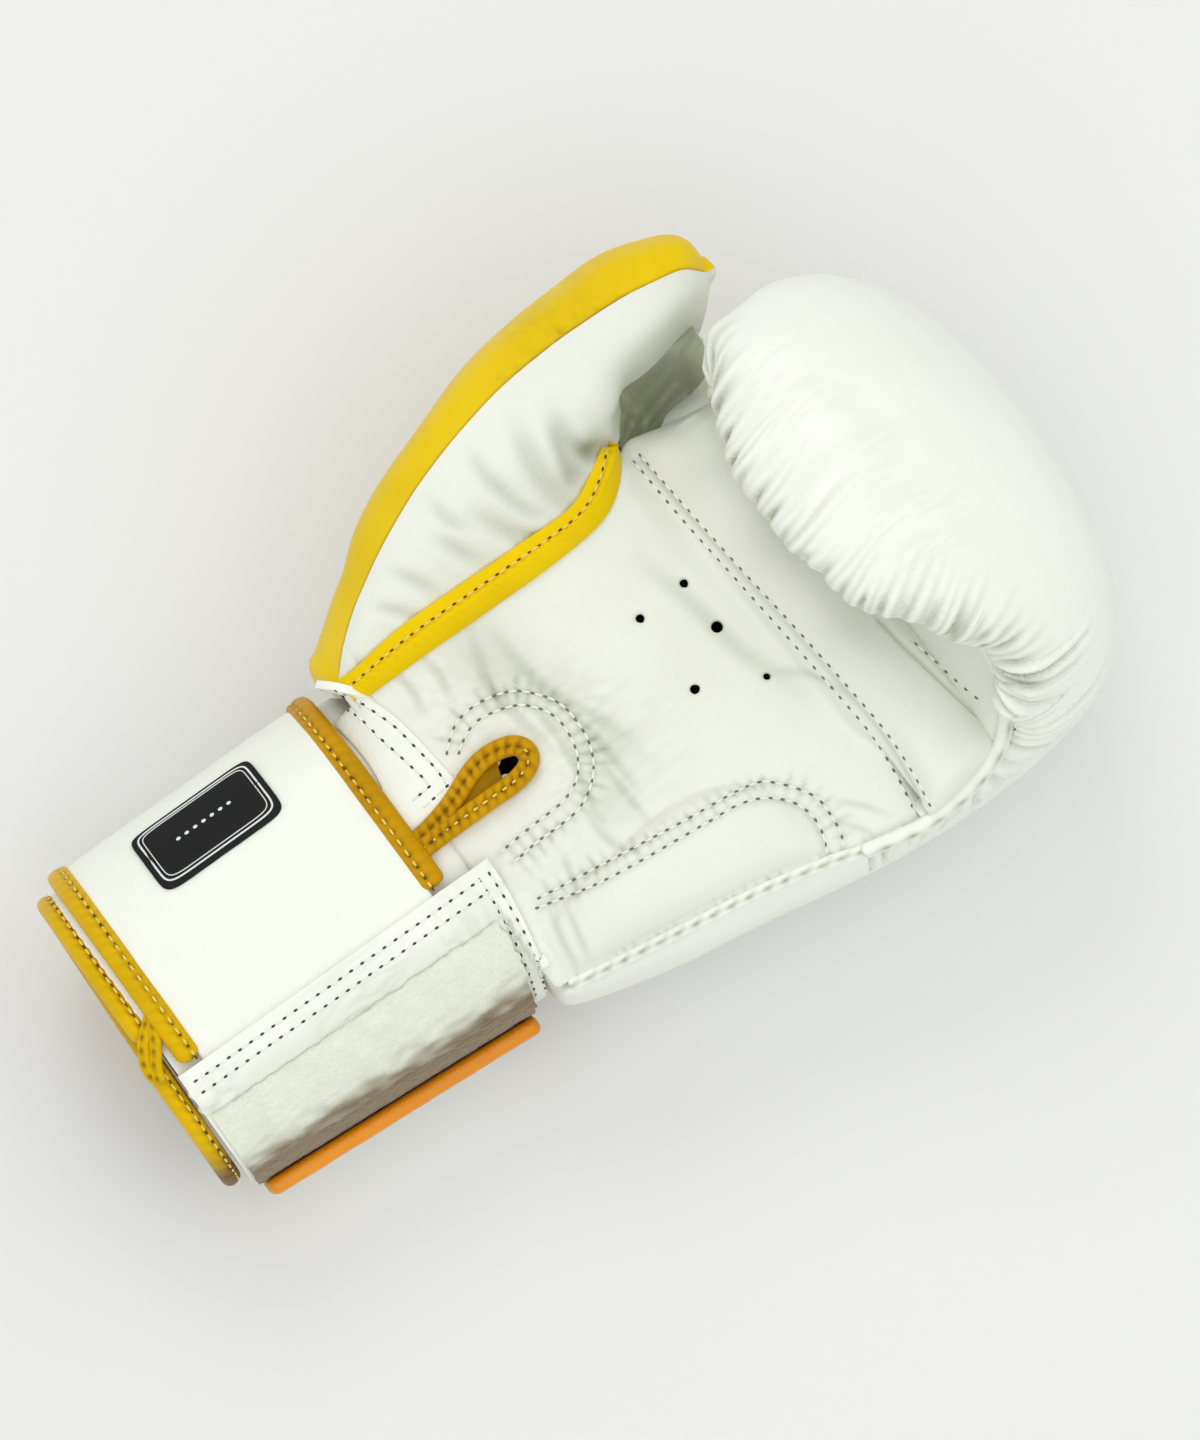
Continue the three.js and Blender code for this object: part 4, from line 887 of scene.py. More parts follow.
def finger_sheet(u, v):
    """The panel between the bar and the lip, bulged away from the fingertips."""
    low, high = (smooth_line(framed(edge), 0.5 * MM) for edge in (BAR_EDGE, LIP_EDGE))
    co = spanned(low, high, u, v)
    co[:, 1] += 5 * MM * np.sin(math.pi * v) * (1 - ease(u, 0.5, 0.75))
    co[:, 2] += 1.5 * MM * np.sin(math.pi * v) * ease(u, 0.6, 0.8)
    return co


fingers = laid_grid("finger_leather", across=120, along=24, place=finger_sheet)
walled(fingers, thickness=1.6, outward=lambda co: np.array([0, -1, 0.4]))
dressed(fingers, WHITE_IN_PAINTED_SHADE, "white_leather", "finger_panel")

# %% [markdown]
# The thumb is two shaped panels sewn together: yellow outside, white towards the palm. Its sections
# are a short table, and a smooth surface runs through them, so that the seam is one clean line. A
# remesh of the two solids would round that seam off.

# %% Thumb sections
COLUMNS = ("along", "edge_x", "edge_z", "under_x", "under_z", "out_x", "out_z", "shoulder_x", "shoulder_z",
           "ridge_x", "ridge_z", "crest_x", "crest_z", "sewn_x", "sewn_z")
THUMB = np.array([
    (0.000, 0.808, 0.548, 0.842, 0.620, 0.870, 0.690, 0.818, 0.800, 0.668, 0.872, 0.645, 0.880, 0.628, 0.875),
    (0.104, 0.862, 0.548, 0.950, 0.630, 1.005, 0.770, 0.975, 0.930, 0.838, 1.010, 0.740, 1.005, 0.605, 0.930),
    (0.250, 0.925, 0.545, 1.070, 0.650, 1.165, 0.810, 1.130, 1.050, 0.975, 1.165, 0.800, 1.110, 0.600, 0.978),
    (0.375, 0.940, 0.545, 1.130, 0.660, 1.255, 0.840, 1.220, 1.100, 1.065, 1.225, 0.850, 1.180, 0.600, 0.995),
    (0.520, 0.915, 0.560, 1.150, 0.660, 1.352, 0.870, 1.310, 1.120, 1.135, 1.250, 0.900, 1.215, 0.612, 1.005),
    (0.640, 0.860, 0.640, 1.140, 0.650, 1.390, 0.890, 1.338, 1.130, 1.160, 1.250, 0.935, 1.235, 0.720, 1.000),
    (0.730, 0.880, 0.790, 1.110, 0.650, 1.402, 0.900, 1.338, 1.130, 1.165, 1.238, 0.960, 1.200, 0.885, 0.840),
    (0.830, 0.905, 0.820, 1.140, 0.680, 1.402, 0.930, 1.345, 1.120, 1.160, 1.214, 0.985, 1.160, 0.910, 0.845),
    (0.910, 0.955, 0.870, 1.150, 0.750, 1.370, 0.950, 1.300, 1.110, 1.135, 1.165, 1.020, 1.110, 0.940, 0.885),
    (0.965, 1.010, 0.920, 1.140, 0.820, 1.310, 0.965, 1.245, 1.075, 1.105, 1.105, 1.045, 1.055, 1.006, 0.932),
    (1.000, 1.062, 0.960, 1.105, 0.925, 1.170, 0.980, 1.145, 1.025, 1.090, 1.035, 1.068, 1.005, 1.060, 0.966),
])
THUMB_LENGTH, ROOT_ROUND, TIP_ROUND = 148, 5.0, 3.2
END_TURNS = (20, 40, 60, 75, 88)
sections = smooth_line(THUMB * np.array([2.0] + [1.0] * 14), 0.01)
sections[:, 0] /= 2


def thumb_point(name, along):
    """One of the thumb's long lines, at shares of its length, in pattern millimetres."""
    k = COLUMNS.index(name + "_x")
    x = np.interp(along, sections[:, 0], sections[:, k])
    z = np.interp(along, sections[:, 0], sections[:, k + 1])
    return np.stack([-HALF_MITT * x, HAND_START + THUMB_LENGTH * np.asarray(along), FOLD_HEIGHT * z], -1)


def thumb_sheet(names, columns, rows):
    """A smooth grid of places through the thumb's long lines, closed round at both ends."""
    body = np.sin(np.linspace(0, 1, rows) * math.pi / 2)
    grid = []
    for share in body:
        line = smooth_line([thumb_point(name, share) for name in names], 0.2)
        grid.append(shares_of(line, np.linspace(0, 1, columns)))
    first, last = grid[0], grid[-1]
    base = (thumb_point("edge", 0.0) + thumb_point("sewn", 0.0)) / 2
    tip = (thumb_point("shoulder", 1.0) + thumb_point("edge", 1.0) + thumb_point("sewn", 1.0)) / 3
    for turn in np.radians(END_TURNS):
        root_ring = base + (first - base) * math.cos(turn)
        root_ring[:, 1] -= ROOT_ROUND * math.sin(turn)
        grid.insert(0, root_ring)
        tip_ring = tip + (last - tip) * math.cos(turn)
        tip_ring[:, 1] += TIP_ROUND * math.sin(turn)
        grid.append(tip_ring)
    return np.array(grid)


def thumb_panel(name, names, columns, rows, thickness):
    """One panel of the thumb, laid through some of its long lines."""
    grid = thumb_sheet(names, columns, rows)
    far = grid.shape[0] - 1

    def place(u, v):
        row = np.round(u * far).astype(int)
        column = np.round(v * (columns - 1)).astype(int)
        return framed(grid[row, column])

    panel = laid_grid(name, far, columns - 1, place)
    middle = framed((-0.95 * HALF_MITT, 0, 0.88 * FOLD_HEIGHT))
    return walled(panel, thickness, lambda co: (co - middle) * np.array([1, 0, 1]))


# %% [markdown]
# Both panels get their thickness first and their folds after it. The folds start where a seam holds
# the leather back, and the deepest ones lie where the thumb bends. At last a few pulls move the
# outline to where the photograph has it.

# %% Thumb panels and their folds
thumb_back = thumb_panel("thumb_back", ("edge", "under", "out", "shoulder", "ridge"),
                         columns=121, rows=170, thickness=4.0)
thumb_front = thumb_panel("thumb_front", ("ridge", "crest", "sewn"), columns=71, rows=170, thickness=2.6)
smooth_thumb = tree_of(thumb_front)
share = np.linspace(0.02, 0.99, 60)
RIDGE = framed(thumb_point("ridge", np.linspace(0.02, 0.99, 60)))
SEWN = framed(thumb_point("sewn", np.linspace(0.02, 0.62, 40)))
THUMB_BULGES = [((604, 398), 8, -3.2, 0)]
THUMB_FOLDS = [  # marks, width, depth
    ([(512, 420), (527, 450), (545, 480), (562, 500), (580, 510)], 2.4, 1.7),
    ([(474, 512), (510, 532), (534, 538), (552, 540)], 2.2, 1.3),
    ([(437, 538), (460, 552), (486, 566)], 2.0, 1.1),
    ([(391, 572), (424, 586), (440, 600)], 1.8, 1.0),
    ([(372, 606), (400, 613), (424, 620)], 1.6, 0.8),
    ([(552, 408), (562, 436), (568, 462), (582, 488)], 2.6, 1.8),
    ([(564, 436), (588, 452), (616, 444)], 2.4, 2.0),
    ([(494, 484), (520, 506), (548, 518)], 1.6, 0.8),
    ([(430, 500), (448, 520), (470, 530)], 1.8, 0.6),
    ([(470, 450), (486, 476), (508, 494)], 2.0, 0.6)]
# Painted shade in two small hollows of the thumb's front.
THUMB_HOLLOWS = [((590, 446), 5, 0.2, 0.7), ((572, 476), 5, 0.2, 0.4)]
THUMB_WRINKLES = [((-88, 205, 88), 30, (5, 3, 5), 0.06, 13)]
THUMB_PULLS = [
    ((699, 254), (697, 253)), ((712, 254), (706, 259)), ((725, 267), (714, 271)),
    ((718, 295), (709, 303)), ((710, 315), (704, 320)), ((328, 572), (336, 574)),
    ((313, 620), (321, 622)), ((302, 660), (309, 662)), ((318, 690), (325, 688))]
THUMB_STILL = [
    (656, 237), (670, 300), (640, 330), (400, 420), (360, 500), (420, 520), (370, 600), (350, 660)]
front_skin, back_skin = points(thumb_front), points(thumb_back)
pressed(
    thumb_front,
    *hollowed(front_skin, smooth_thumb, THUMB_BULGES),
    *creased(front_skin, smooth_thumb, THUMB_FOLDS, rounds=4),
    gathers(front_skin, SEWN, reach=8, depth=0.25, pitch=6.5, seed=61),
    *hollowed(front_skin, smooth_thumb, THUMB_HOLLOWS),
)
pressed(
    thumb_back,
    gathers(back_skin, RIDGE[30:52], reach=6, depth=0.55, pitch=6.2, seed=63, sharp=0.1, clear=1.5),
    *crinkled(back_skin, THUMB_WRINKLES),
)
# Painted shade along the seams: a broad band beside the front's sewn edge, and a thin dark line where the two
# panels meet at the ridge.
for panel, co, line, reach, width, tone in (
        (thumb_front, front_skin, SEWN, 8, 3.5, 0.3), (thumb_back, back_skin, RIDGE, 4, 0.7, 0.75)):
    seam_far, _, _ = nearest(co, line, reach)
    shade_of(panel, tone * np.exp(-(seam_far / width) ** 2))
    pulled(panel, THUMB_PULLS, THUMB_STILL, reach=34)
dressed(thumb_back, YELLOW, "yellow_leather", "thumb_outer", fill=0.8)
dressed(thumb_front, WHITE_IN_PAINTED_SHADE, "white_leather", "thumb_inner", fill=0.6)

# %% [markdown]
# A web of leather ties the thumb to the mitt. It hangs in the deep fold between the two. Its edges
# are landed on both neighbours, so it meets them wherever they were moved.

# %% Thumb web
WEB_THUMB = [(612, 437), (620, 410), (621, 390), (640, 372), (664, 348), (692, 322)]
WEB_MITT = [(630, 450), (645, 440), (660, 424), (690, 394), (708, 374), (712, 350)]
thumb_side = softened(landed(tree_of(thumb_front, thumb_back), WEB_THUMB)[0], 20)
mitt_side = softened(landed(tree_of(palm, fingers, shell), WEB_MITT)[0], 60)
thumb_side[:, 2] -= 3.0 * MM
mitt_side[:, 2] -= 1.5 * MM


def web_sheet(u, v):
    """The web between its two edges, sagging and a little pleated."""
    co = spanned(thumb_side, mitt_side, u, v)
    co[:, 2] -= (4.0 * np.sin(math.pi * v) + 0.5 * np.sin(7 * math.pi * v + 4 * u)) * MM
    return co


web = laid_grid("thumb_web", 60, 24, web_sheet)
# Painted shade: the web lies deep between thumb and mitt, so it is shaded all over, and more round the lower
# end of its thumb-side edge.
deep = hollow(points(web), thumb_side[0], radius=18, depth=0, tone=0.6)[1]
shade_of(web, 0.8 + deep)
walled(web, thickness=2.4, outward=lambda co: np.array([0, 0, 1]))
dressed(web, WHITE_IN_PAINTED_SHADE, "white_leather", "thumb_web")

# %% [markdown]
# The cuff is a tube with a flattened round section. Whatever wraps it, such as the strap and the
# flap, starts as a flat grid whose points are then laid round the tube.

# %% Round the cuff
SLIT_RIM, SLIT_END, TEARDROP_Y = 3.5, -0.6, 126.5


def cuff_point(angle, y, over):
    """A place over the cuff's skin, in metres: angle in degrees from the little finger's side."""
    cos, sin = np.cos(np.radians(angle)), np.sin(np.radians(angle))
    taper = RIM_TAPER * (1 - y / CUFF_LENGTH) * np.maximum(cos, 0)
    power = 2 / CUFF_POWER
    x = (CUFF_WIDTH / 2 - taper + over) * np.sign(cos) * np.abs(cos) ** power
    z = CUFF_LEVEL + (CUFF_HEIGHT / 2 + over) * np.sign(sin) * np.abs(sin) ** power
    return framed(np.stack(np.broadcast_arrays(x, y, z), -1))


def cuff_angle(x):
    """The angle at which the cuff's top is a given width away from its middle."""
    angle = math.degrees(math.acos((abs(x) / (CUFF_WIDTH / 2)) ** (CUFF_POWER / 2)))
    return 180 - angle if x < 0 else angle


def slit_at(y):
    """How far the middle of the slit lies from the middle of the cuff."""
    return SLIT_RIM + (SLIT_END - SLIT_RIM) * y / TEARDROP_Y


FLAP_ANGLE, PATCH_ANGLE = cuff_angle(14.8), cuff_angle(30)
ROOT_ANGLE, STRAP_END = FLAP_ANGLE - 6, 352


def strap_over(angle):
    """The strap's height over the cuff: it rises over the fleece at its end."""
    return GAP + 4.5 * ease(angle, 289, 313)


def flap_over(angle):
    """The flap's height over the cuff: it rises over the strap's root."""
    return GAP + 3.3 * ease(angle, ROOT_ANGLE - 14, ROOT_ANGLE - 1)


def line_over(angle, y, over):
    """A line over the cuff, with its normals."""
    spots = cuff_point(angle, y, over)
    return spots, unit(cuff_point(angle, y, over + 1) - spots)


# %% [markdown]
# A rolled binding is a rounded section that follows a line. Thread pulls it in along its row, most
# of all where the needle went through, and the leather puckers between the stitches. A bevelled
# curve would be quicker, but it can't be pinched along one side only.

# %% Rolled bindings
def roll(name, line, width, thickness, sewn=0.0, pitch=3.4, dip=0.4, pucker=0.1, seed=1, sides=28):
    """A closed roll along a line. sewn is where its stitches run, from the middle, in millimetres."""
    spots, ups = line
    way = way_along(spots) / MM
    ahead = unit(np.gradient(spots, axis=0))
    shade = {}

    def place(u, v):
        along = u * way[-1]
        at = lambda rows: between(rows, along, way)
        centre, up, tangent = at(spots), unit(at(ups)), unit(at(ahead))
        side = unit(np.cross(tangent, up))
        cos, sin = np.cos(2 * math.pi * v), np.sin(2 * math.pi * v)
        across = width / 2 * np.sign(cos) * np.abs(cos) ** 0.8
        high = thickness / 2 * (1 + np.sign(sin) * np.abs(sin) ** 0.8)
        top = np.clip(1.6 * sin, 0, 1)
        stitch = along / pitch
        hole = np.exp(-((stitch - np.round(stitch)) / 0.19) ** 2)
        row = np.exp(-((across - sewn) / 0.62) ** 2) * top
        beside = np.exp(-((across - sewn) / (0.45 * width)) ** 2) * top
        high = high - dip * row * (0.45 + 0.75 * hole)
        uneven = 0.12 * rough(along / 5, seed) + 0.5 * (across - sewn) / width
        wave = np.sin(2 * math.pi * (0.5 + stitch + uneven))
        high = high + pucker * beside * wave + 0.5 * pucker * top * rough(along / 3.1, seed + 1)
        # Painted shade in the stitch row's dip, most at the needle holes, and in the valleys of the pucker.
        dark = row * (0.25 + 0.6 * hole) + 0.35 * beside * np.clip(-wave, 0, 1) * pucker / 0.2
        shade["amount"] = np.clip(dark, 0, 1)
        close = np.clip(np.minimum(along, way[-1] - along) / (0.45 * thickness), 0, 1)
        fit = 0.35 + 0.65 * np.sqrt(1 - (1 - close) ** 2)
        high = thickness / 2 + (high - thickness / 2) * fit
        return centre + side * (across * fit * MM)[:, None] + up * (high * MM)[:, None]

    obj = laid_grid(name, max(4, int(way[-1] / 0.55)), sides, place)
    shade_of(obj, shade["amount"])
    in_edit_mode(obj, ("remove_doubles", {"threshold": MERGE_DISTANCE}), ("fill_holes", {"sides": 0}),
                 ("normals_make_consistent", {"inside": False}))
    bpy.ops.object.shade_smooth_by_angle(angle=math.radians(60))
    return obj


def offset_line(line, across, lift):
    """The same line moved sideways and up, in millimetres."""
    spots, ups = line
    side = unit(np.cross(unit(np.gradient(spots, axis=0)), ups))
    return spots + (side * across + ups * lift) * MM, ups


# %% [markdown]
# Stitches are small: a sunken dark end at each needle hole, and a short length of thread between
# two holes. One sphere of twenty-four faces is stretched for each of them, row after row. Bump in
# the material would be cheaper, but it would leave the meshes without them.

# %% Stitches
bpy.ops.mesh.primitive_uv_sphere_add(segments=6, ring_count=4, radius=1)
bead = bpy.context.object
BEAD_POINTS = points(bead)
BEAD_FACES = [list(p.vertices) for p in bead.data.polygons]
bpy.ops.object.delete()
STITCH, ROLL_STITCH = 3.5, 3.4
# The hole bead's dark colour is painted shade, for the shade in the hole and beside the thread.
BEADS = (  # kind, place in the stitch, lift, half length, half width, half height
    ("thread", 0.5, 0.05, None, 0.40, 0.34), ("hole", 0.0, -0.02, 0.66, 0.42, 0.24))
sewn_rows = {}


def sew(colour, line, pitch=STITCH):
    """Adds one row of stitches to the thread of one colour."""
    spots, ups = line
    way = way_along(spots) / MM
    count = max(2, int(way[-1] / pitch))
    ahead = unit(np.gradient(spots, axis=0))
    for kind, start, lift, half_length, half_width, half_height in BEADS:
        s = (np.arange(count) + start) * way[-1] / count
        centre, up, tangent = (between(rows, s, way) for rows in (spots, ups, ahead))
        tangent = unit(tangent)
        side = unit(np.cross(tangent, unit(up)))
        up = np.cross(side, tangent)
        half = (half_length or 0.34 * pitch, half_width, half_height)
        row = (centre + up * lift * MM, tangent, side, up, half)
        sewn_rows.setdefault(colour + " " + kind, []).append(row)


def sew_landed(colour, tree, marks):
    """A row of stitches that lands on a seam and is evened out along it."""
    spots, ups = landed(tree, marks)
    sew(colour, (softened(spots, 3), unit(softened(ups, 8))))


def thread_object(key, name, material):
    """All beads of one colour as one object."""
    corners, faces = [], []
    for centre, tangent, side, up, half in sewn_rows[key]:
        for c, t, s, u in zip(centre, tangent, side, up):
            start = len(corners) * len(BEAD_POINTS)
            frame_of = np.stack([t * half[0], s * half[1], u * half[2]]) * MM
            corners.append(c + BEAD_POINTS[:, [2, 0, 1]] @ frame_of)
            faces += [[start + i for i in face] for face in BEAD_FACES]
    mesh = bpy.data.meshes.new(name)
    mesh.from_pydata(np.concatenate(corners).tolist(), [], faces)
    obj = bpy.data.objects.new(name, mesh)
    scene.collection.objects.link(obj)
    in_edit_mode(obj, ("normals_make_consistent", {"inside": False}))
    bpy.ops.object.shade_smooth()
    return dressed(obj, material)


# %% [markdown]
# Cuff, strap and flap are sheets laid round the tube. The cuff's inner side is lined with dark
# cloth. The strap leaves the flap, goes round the back, and comes up again over the fleece.

# %% Cuff
CUFF_WALL, CUFF_TURN_IN = 4.3, 2.5


def outward(co):
    """Directions away from the cuff's middle line."""
    return co - framed((0, 0, CUFF_LEVEL)) * [1, 0, 1] - co * [0, 1, 0]


def round_cuff(u, v):
    """The cuff's skin, from one side of the slit round to the other."""
    y = RIM_TAPER + 0.2 + v * (CUFF_LENGTH + CUFF_TURN_IN - RIM_TAPER)
    start = np.array([cuff_angle(x) for x in slit_at(y)])
    sunk = 0.1 + 3.0 * ease(y, CUFF_LENGTH - 1, CUFF_LENGTH + CUFF_TURN_IN)
    return cuff_point(start + 1 + u * 358, y, -sunk)


cuff = laid_grid("cuff_leather", 180, 50, round_cuff)
cuff.data.materials.append(WHITE)
cuff.data.materials.append(LINING)
if (directions(cuff) * outward(points(cuff))).sum() < 0:
    in_edit_mode(cuff, ("flip_normals", {}))
applied(cuff, "SOLIDIFY", thickness=CUFF_WALL * MM, offset=-1, material_offset=1)
only(cuff)
bpy.ops.object.shade_smooth_by_angle(angle=math.radians(50))
dressed(cuff, WHITE, "white_leather", "cuff")

# %% [markdown]
# The strap is held at its edges only, so the leather between them waves a little. A cloth run could
# make the waves. Noise that is pressed into the sheet is enough, and stays the same in each run.

# %% Strap
STRAP_NEAR, STRAP_FAR, STRAP_WALL = 14.6, 89.4, 3


def strap_sheet(u, v):
    """The strap's outer skin, a little raised between its bindings."""
    angle = ROOT_ANGLE + u * (STRAP_END - ROOT_ANGLE)
    rise = 0.5 * np.sin(math.pi * v) ** 0.5
    return cuff_point(angle, STRAP_NEAR + v * (STRAP_FAR - STRAP_NEAR),
                      strap_over(angle) + STRAP_WALL + rise)


strap = laid_grid("strap_leather", 300, 90, strap_sheet)
strap_skin = points(strap)
slow, quick = rough_space(strap_skin, (16, 30, 16), 71), rough_space(strap_skin, (7, 5, 7), 72)
pressed(strap, (0.45 * slow + 0.18 * quick, 0 * slow))
walled(strap, STRAP_WALL, outward)
dressed(strap, WHITE, "white_leather", "strap")

# %% [markdown]
# The flap covers the slit and reaches on to the palm. It is laid round the cuff like the strap, and
# where it reaches the palm, its points are lifted on to the leather that lies there.

# %% Flap
FLAP_NEAR, FLAP_WALL, FLAP_BACK_TURN = 6.8, 2.2, 46
PALM_START = 98
FLAP_WRINKLES = [  # turn, y, radius, size, depth, seed
    (0, 8, 22, (5, 6, 5), 0.9, 76), (2, 60, 26, (3, 10, 3), 0.35, 77), (12, 100, 24, (8, 3, 8), 0.35, 78)]
palm_tree = tree_of(palm)


def dropped(tree, rows):
    """Where places fall when they drop on a piece from above: places and normals."""
    spots, normals = [], []
    for x, y, z in rows:
        hit, normal, _, _ = tree.ray_cast(Vector((x, y, z + 0.04)), Vector((0, 0, -1)))
        if hit is not None:
            spots.append(hit)
            normals.append(normal if normal.z > 0 else -normal)
    return np.array(spots), np.array(normals)


def flap_far(angle):
    """How far along the glove the flap reaches."""
    return CUFF_LENGTH - 0.8 + 6.3 * ease(angle, 0, FLAP_ANGLE)


def flap_sheet(u, v):
    """The flap's outer skin. Where it reaches the palm, it lies on it."""
    angle = FLAP_ANGLE - u * (FLAP_ANGLE + FLAP_BACK_TURN)
    co = cuff_point(angle, FLAP_NEAR + v * (flap_far(angle) - FLAP_NEAR), flap_over(angle) + FLAP_WALL)
    for i in np.flatnonzero(co[:, 1] > (PALM_START + SHIFT[1]) * MM):
        hit, _, _, _ = palm_tree.ray_cast(Vector((co[i, 0], co[i, 1], 0.12)), Vector((0, 0, -1)))
        if hit is not None:
            co[i, 2] = max(co[i, 2], hit.z + (FLAP_WALL + GAP) * MM)
    return co


flap = laid_grid("flap_leather", 150, 130, flap_sheet)
flap_skin = points(flap)
uneven = 0.3 * rough_space(flap_skin, (9, 16, 9), 75)
pressed(
    flap,
    (uneven, 0 * uneven),
    *(crinkle(flap_skin, cuff_point(FLAP_ANGLE - turn, y, 4), *values)
      for turn, y, *values in FLAP_WRINKLES),
)
walled(flap, FLAP_WALL, outward)
dressed(flap, WHITE, "white_leather", "closure_flap")

# %% [markdown]
# The loop fleece is furry, so its skin is rough, and it gets painted shade that grows darker and
# browner towards its low edge, by the strap's end roll.

# %% Fleece
FLEECE_NEAR, FLEECE_LENGTH, FLEECE_TURN, FLEECE_WALL = 8, 87.7, 37.5, 1.7


def fleece_sheet(u, v):
    """The fleece's outer skin, with an uneven edge towards the palm."""
    angle = PATCH_ANGLE + 1.5 - u * (PATCH_ANGLE + FLEECE_TURN)
    frayed = 0.7 * rough(angle / 3.2, 81) * ease(v, 0.9, 1)
    y = FLEECE_NEAR + v * (FLEECE_LENGTH + 3.6 * ease(angle, 0, PATCH_ANGLE)) + frayed
    return cuff_point(angle, y, flap_over(angle) + 2.5 + FLEECE_WALL)


fleece = laid_grid("fleece", 150, 150, fleece_sheet)
fleece_skin = points(fleece)
tuft = 0.25 * rough_space(fleece_skin, 1.5, 82) + 0.15 * rough_space(fleece_skin, 4.2, 83)
level = (fleece_skin[:, 2] / MM - CUFF_LEVEL) / (CUFF_HEIGHT / 2)
# Painted shade: darker and browner towards the fleece's low edge.
low_edge_shade = ease(0.74 - level + 0.12 * rough_space(fleece_skin, (3, 6, 3), 84), 0, 0.36)
pressed(fleece, (tuft, low_edge_shade))
walled(fleece, FLEECE_WALL, outward)
dressed(fleece, FLEECE, "loop_fleece", "loop_patch")

# %% [markdown]
# The strap's edges, its free end and the rim of the cuff are bound with rolled leather. Each roll
# follows a line round or along the cuff. The rim gets painted shade on the little finger's side, low
# down.

# %% Rolls round the cuff
ROLL_HIGH, RIM_HIGH, THREAD_SEAT = 4.8, 6.5, 0.6
HAND_SEWN, WRIST_SEWN, RIM_SEWN = -1.3, 1.3, 1.4
strap_turn = np.linspace(FLAP_ANGLE + 1.5, 351.2, 240)
rim_turn = np.linspace(cuff_angle(SLIT_RIM) + 1.2, cuff_angle(SLIT_RIM) + 358.8, 240)
rim_y = 3.0 + 2.3 * (1 - ease(rim_turn, 190, 330))
hand_line = line_over(strap_turn, 91.6, strap_over(strap_turn))
wrist_line = line_over(strap_turn, 12.4, strap_over(strap_turn))
end_line = line_over(355.7, np.linspace(9.5, 94.5, 80), strap_over(STRAP_END))
rim_line = line_over(rim_turn, rim_y, -5.5)
hand_roll = roll("strap_roll_hand", hand_line, width=6.9, thickness=ROLL_HIGH,
                 sewn=HAND_SEWN, dip=0.7, seed=91)
wrist_roll = roll("strap_roll_wrist", wrist_line, width=6.6, thickness=ROLL_HIGH,
                  sewn=WRIST_SEWN, dip=0.7, seed=92)
end_roll = roll("strap_roll_end", end_line, width=6.2, thickness=5.0,
                dip=0.0, pucker=0.05, pitch=17, seed=93)
rim_roll = roll("rim_roll", rim_line, width=5.6, thickness=RIM_HIGH,
                sewn=RIM_SEWN, dip=0.6, seed=94)
rim_skin = points(rim_roll) / MM
# Painted shade on the rim: low down on the little finger's side.
shade_of(rim_roll, 1.6 * ease(66 - rim_skin[:, 2], 0, 26) * ease(rim_skin[:, 0], 12, 34))
dressed(hand_roll, GOLD, "gold_leather", "strap_binding_hand")
dressed(wrist_roll, PALE_GOLD, "gold_leather", "strap_binding_wrist")
# The end roll's orange colour is painted light.
dressed(end_roll, GOLD_IN_PAINTED_LIGHT, "gold_leather", "strap_binding_end")
dressed(rim_roll, PALE_GOLD, "gold_leather", "rim_binding")
for line, across, high in ((hand_line, HAND_SEWN, ROLL_HIGH), (wrist_line, WRIST_SEWN, ROLL_HIGH),
                           (rim_line, RIM_SEWN, RIM_HIGH)):
    sew("gold", offset_line(line, across, high - THREAD_SEAT), ROLL_STITCH)

# %% [markdown]
# The binding of the slit lies on the palm. It goes up one side of the slit, round the teardrop, and
# down again. Both strands are raised to the same height, so that neither falls through the slit.

# %% Roll round the slit
SLIT_PATH = [
    (402, 866), (432, 843), (462, 821), (490, 801), (513, 785), (529, 769), (532, 754), (521, 745),
    (505, 747), (487, 757), (472, 773), (461, 791), (447, 811), (425, 835), (402, 853)]
SLIT_INSIDE = [(440, 826), (462, 806), (484, 785), (506, 766), (518, 756)]
SLIT_STITCH = 3.1
palm_and_cuff = tree_of(palm, cuff)
spots, ups = landed(palm_and_cuff, SLIT_PATH, 3.0)
spots = raised_to(spots, np.maximum(spots[:, 2], spots[::-1, 2] - 0.3 * MM))
slit_line = softened(spots, 12), unit(softened(ups, 20))
slit_roll = roll("slit_roll", slit_line, width=5.6, thickness=3.8,
                 pitch=SLIT_STITCH, dip=0.7, pucker=0.35, seed=95)
# Painted shade on the slit roll where it turns in towards the slit.
inside, _ = landed(palm_and_cuff, SLIT_INSIDE)
inside_far, _, _ = nearest(points(slit_roll), inside, 6)
shade_of(slit_roll, 0.75 * np.exp(-(inside_far / 2.6) ** 2))
dressed(slit_roll, GOLD, "gold_leather", "slit_binding")
slit_spots, slit_ups = slit_line


def slit_fold_sheet(u, v):
    """Doubled leather between the two strands, as far as the opening."""
    up = shares_of(slit_ups, 0.37 * u) * (1.6 - 0.9 * ease(u, 0.8, 1))[:, None] * MM
    near, far = shares_of(slit_spots, 0.37 * u), shares_of(slit_spots, 1 - 0.37 * u)
    return near + (far - near) * v[:, None] + up


slit_fold = laid_grid("slit_fold", 60, 12, slit_fold_sheet)
# Painted shade all over the fold, which lies down between the strands.
shade_of(slit_fold, 0.7)
walled(slit_fold, thickness=1.2, outward=lambda co: np.array([0, 0, 1]))
dressed(slit_fold, GOLD, "gold_leather")
near_strand = [rows[: len(rows) * 11 // 20] for rows in slit_line]
sew("gold", offset_line(near_strand, 0, 3.2), SLIT_STITCH)

# %% [markdown]
# Some leather is easiest to draw: two edges in the picture, and a sheet between them that lands on
# whatever lies below.

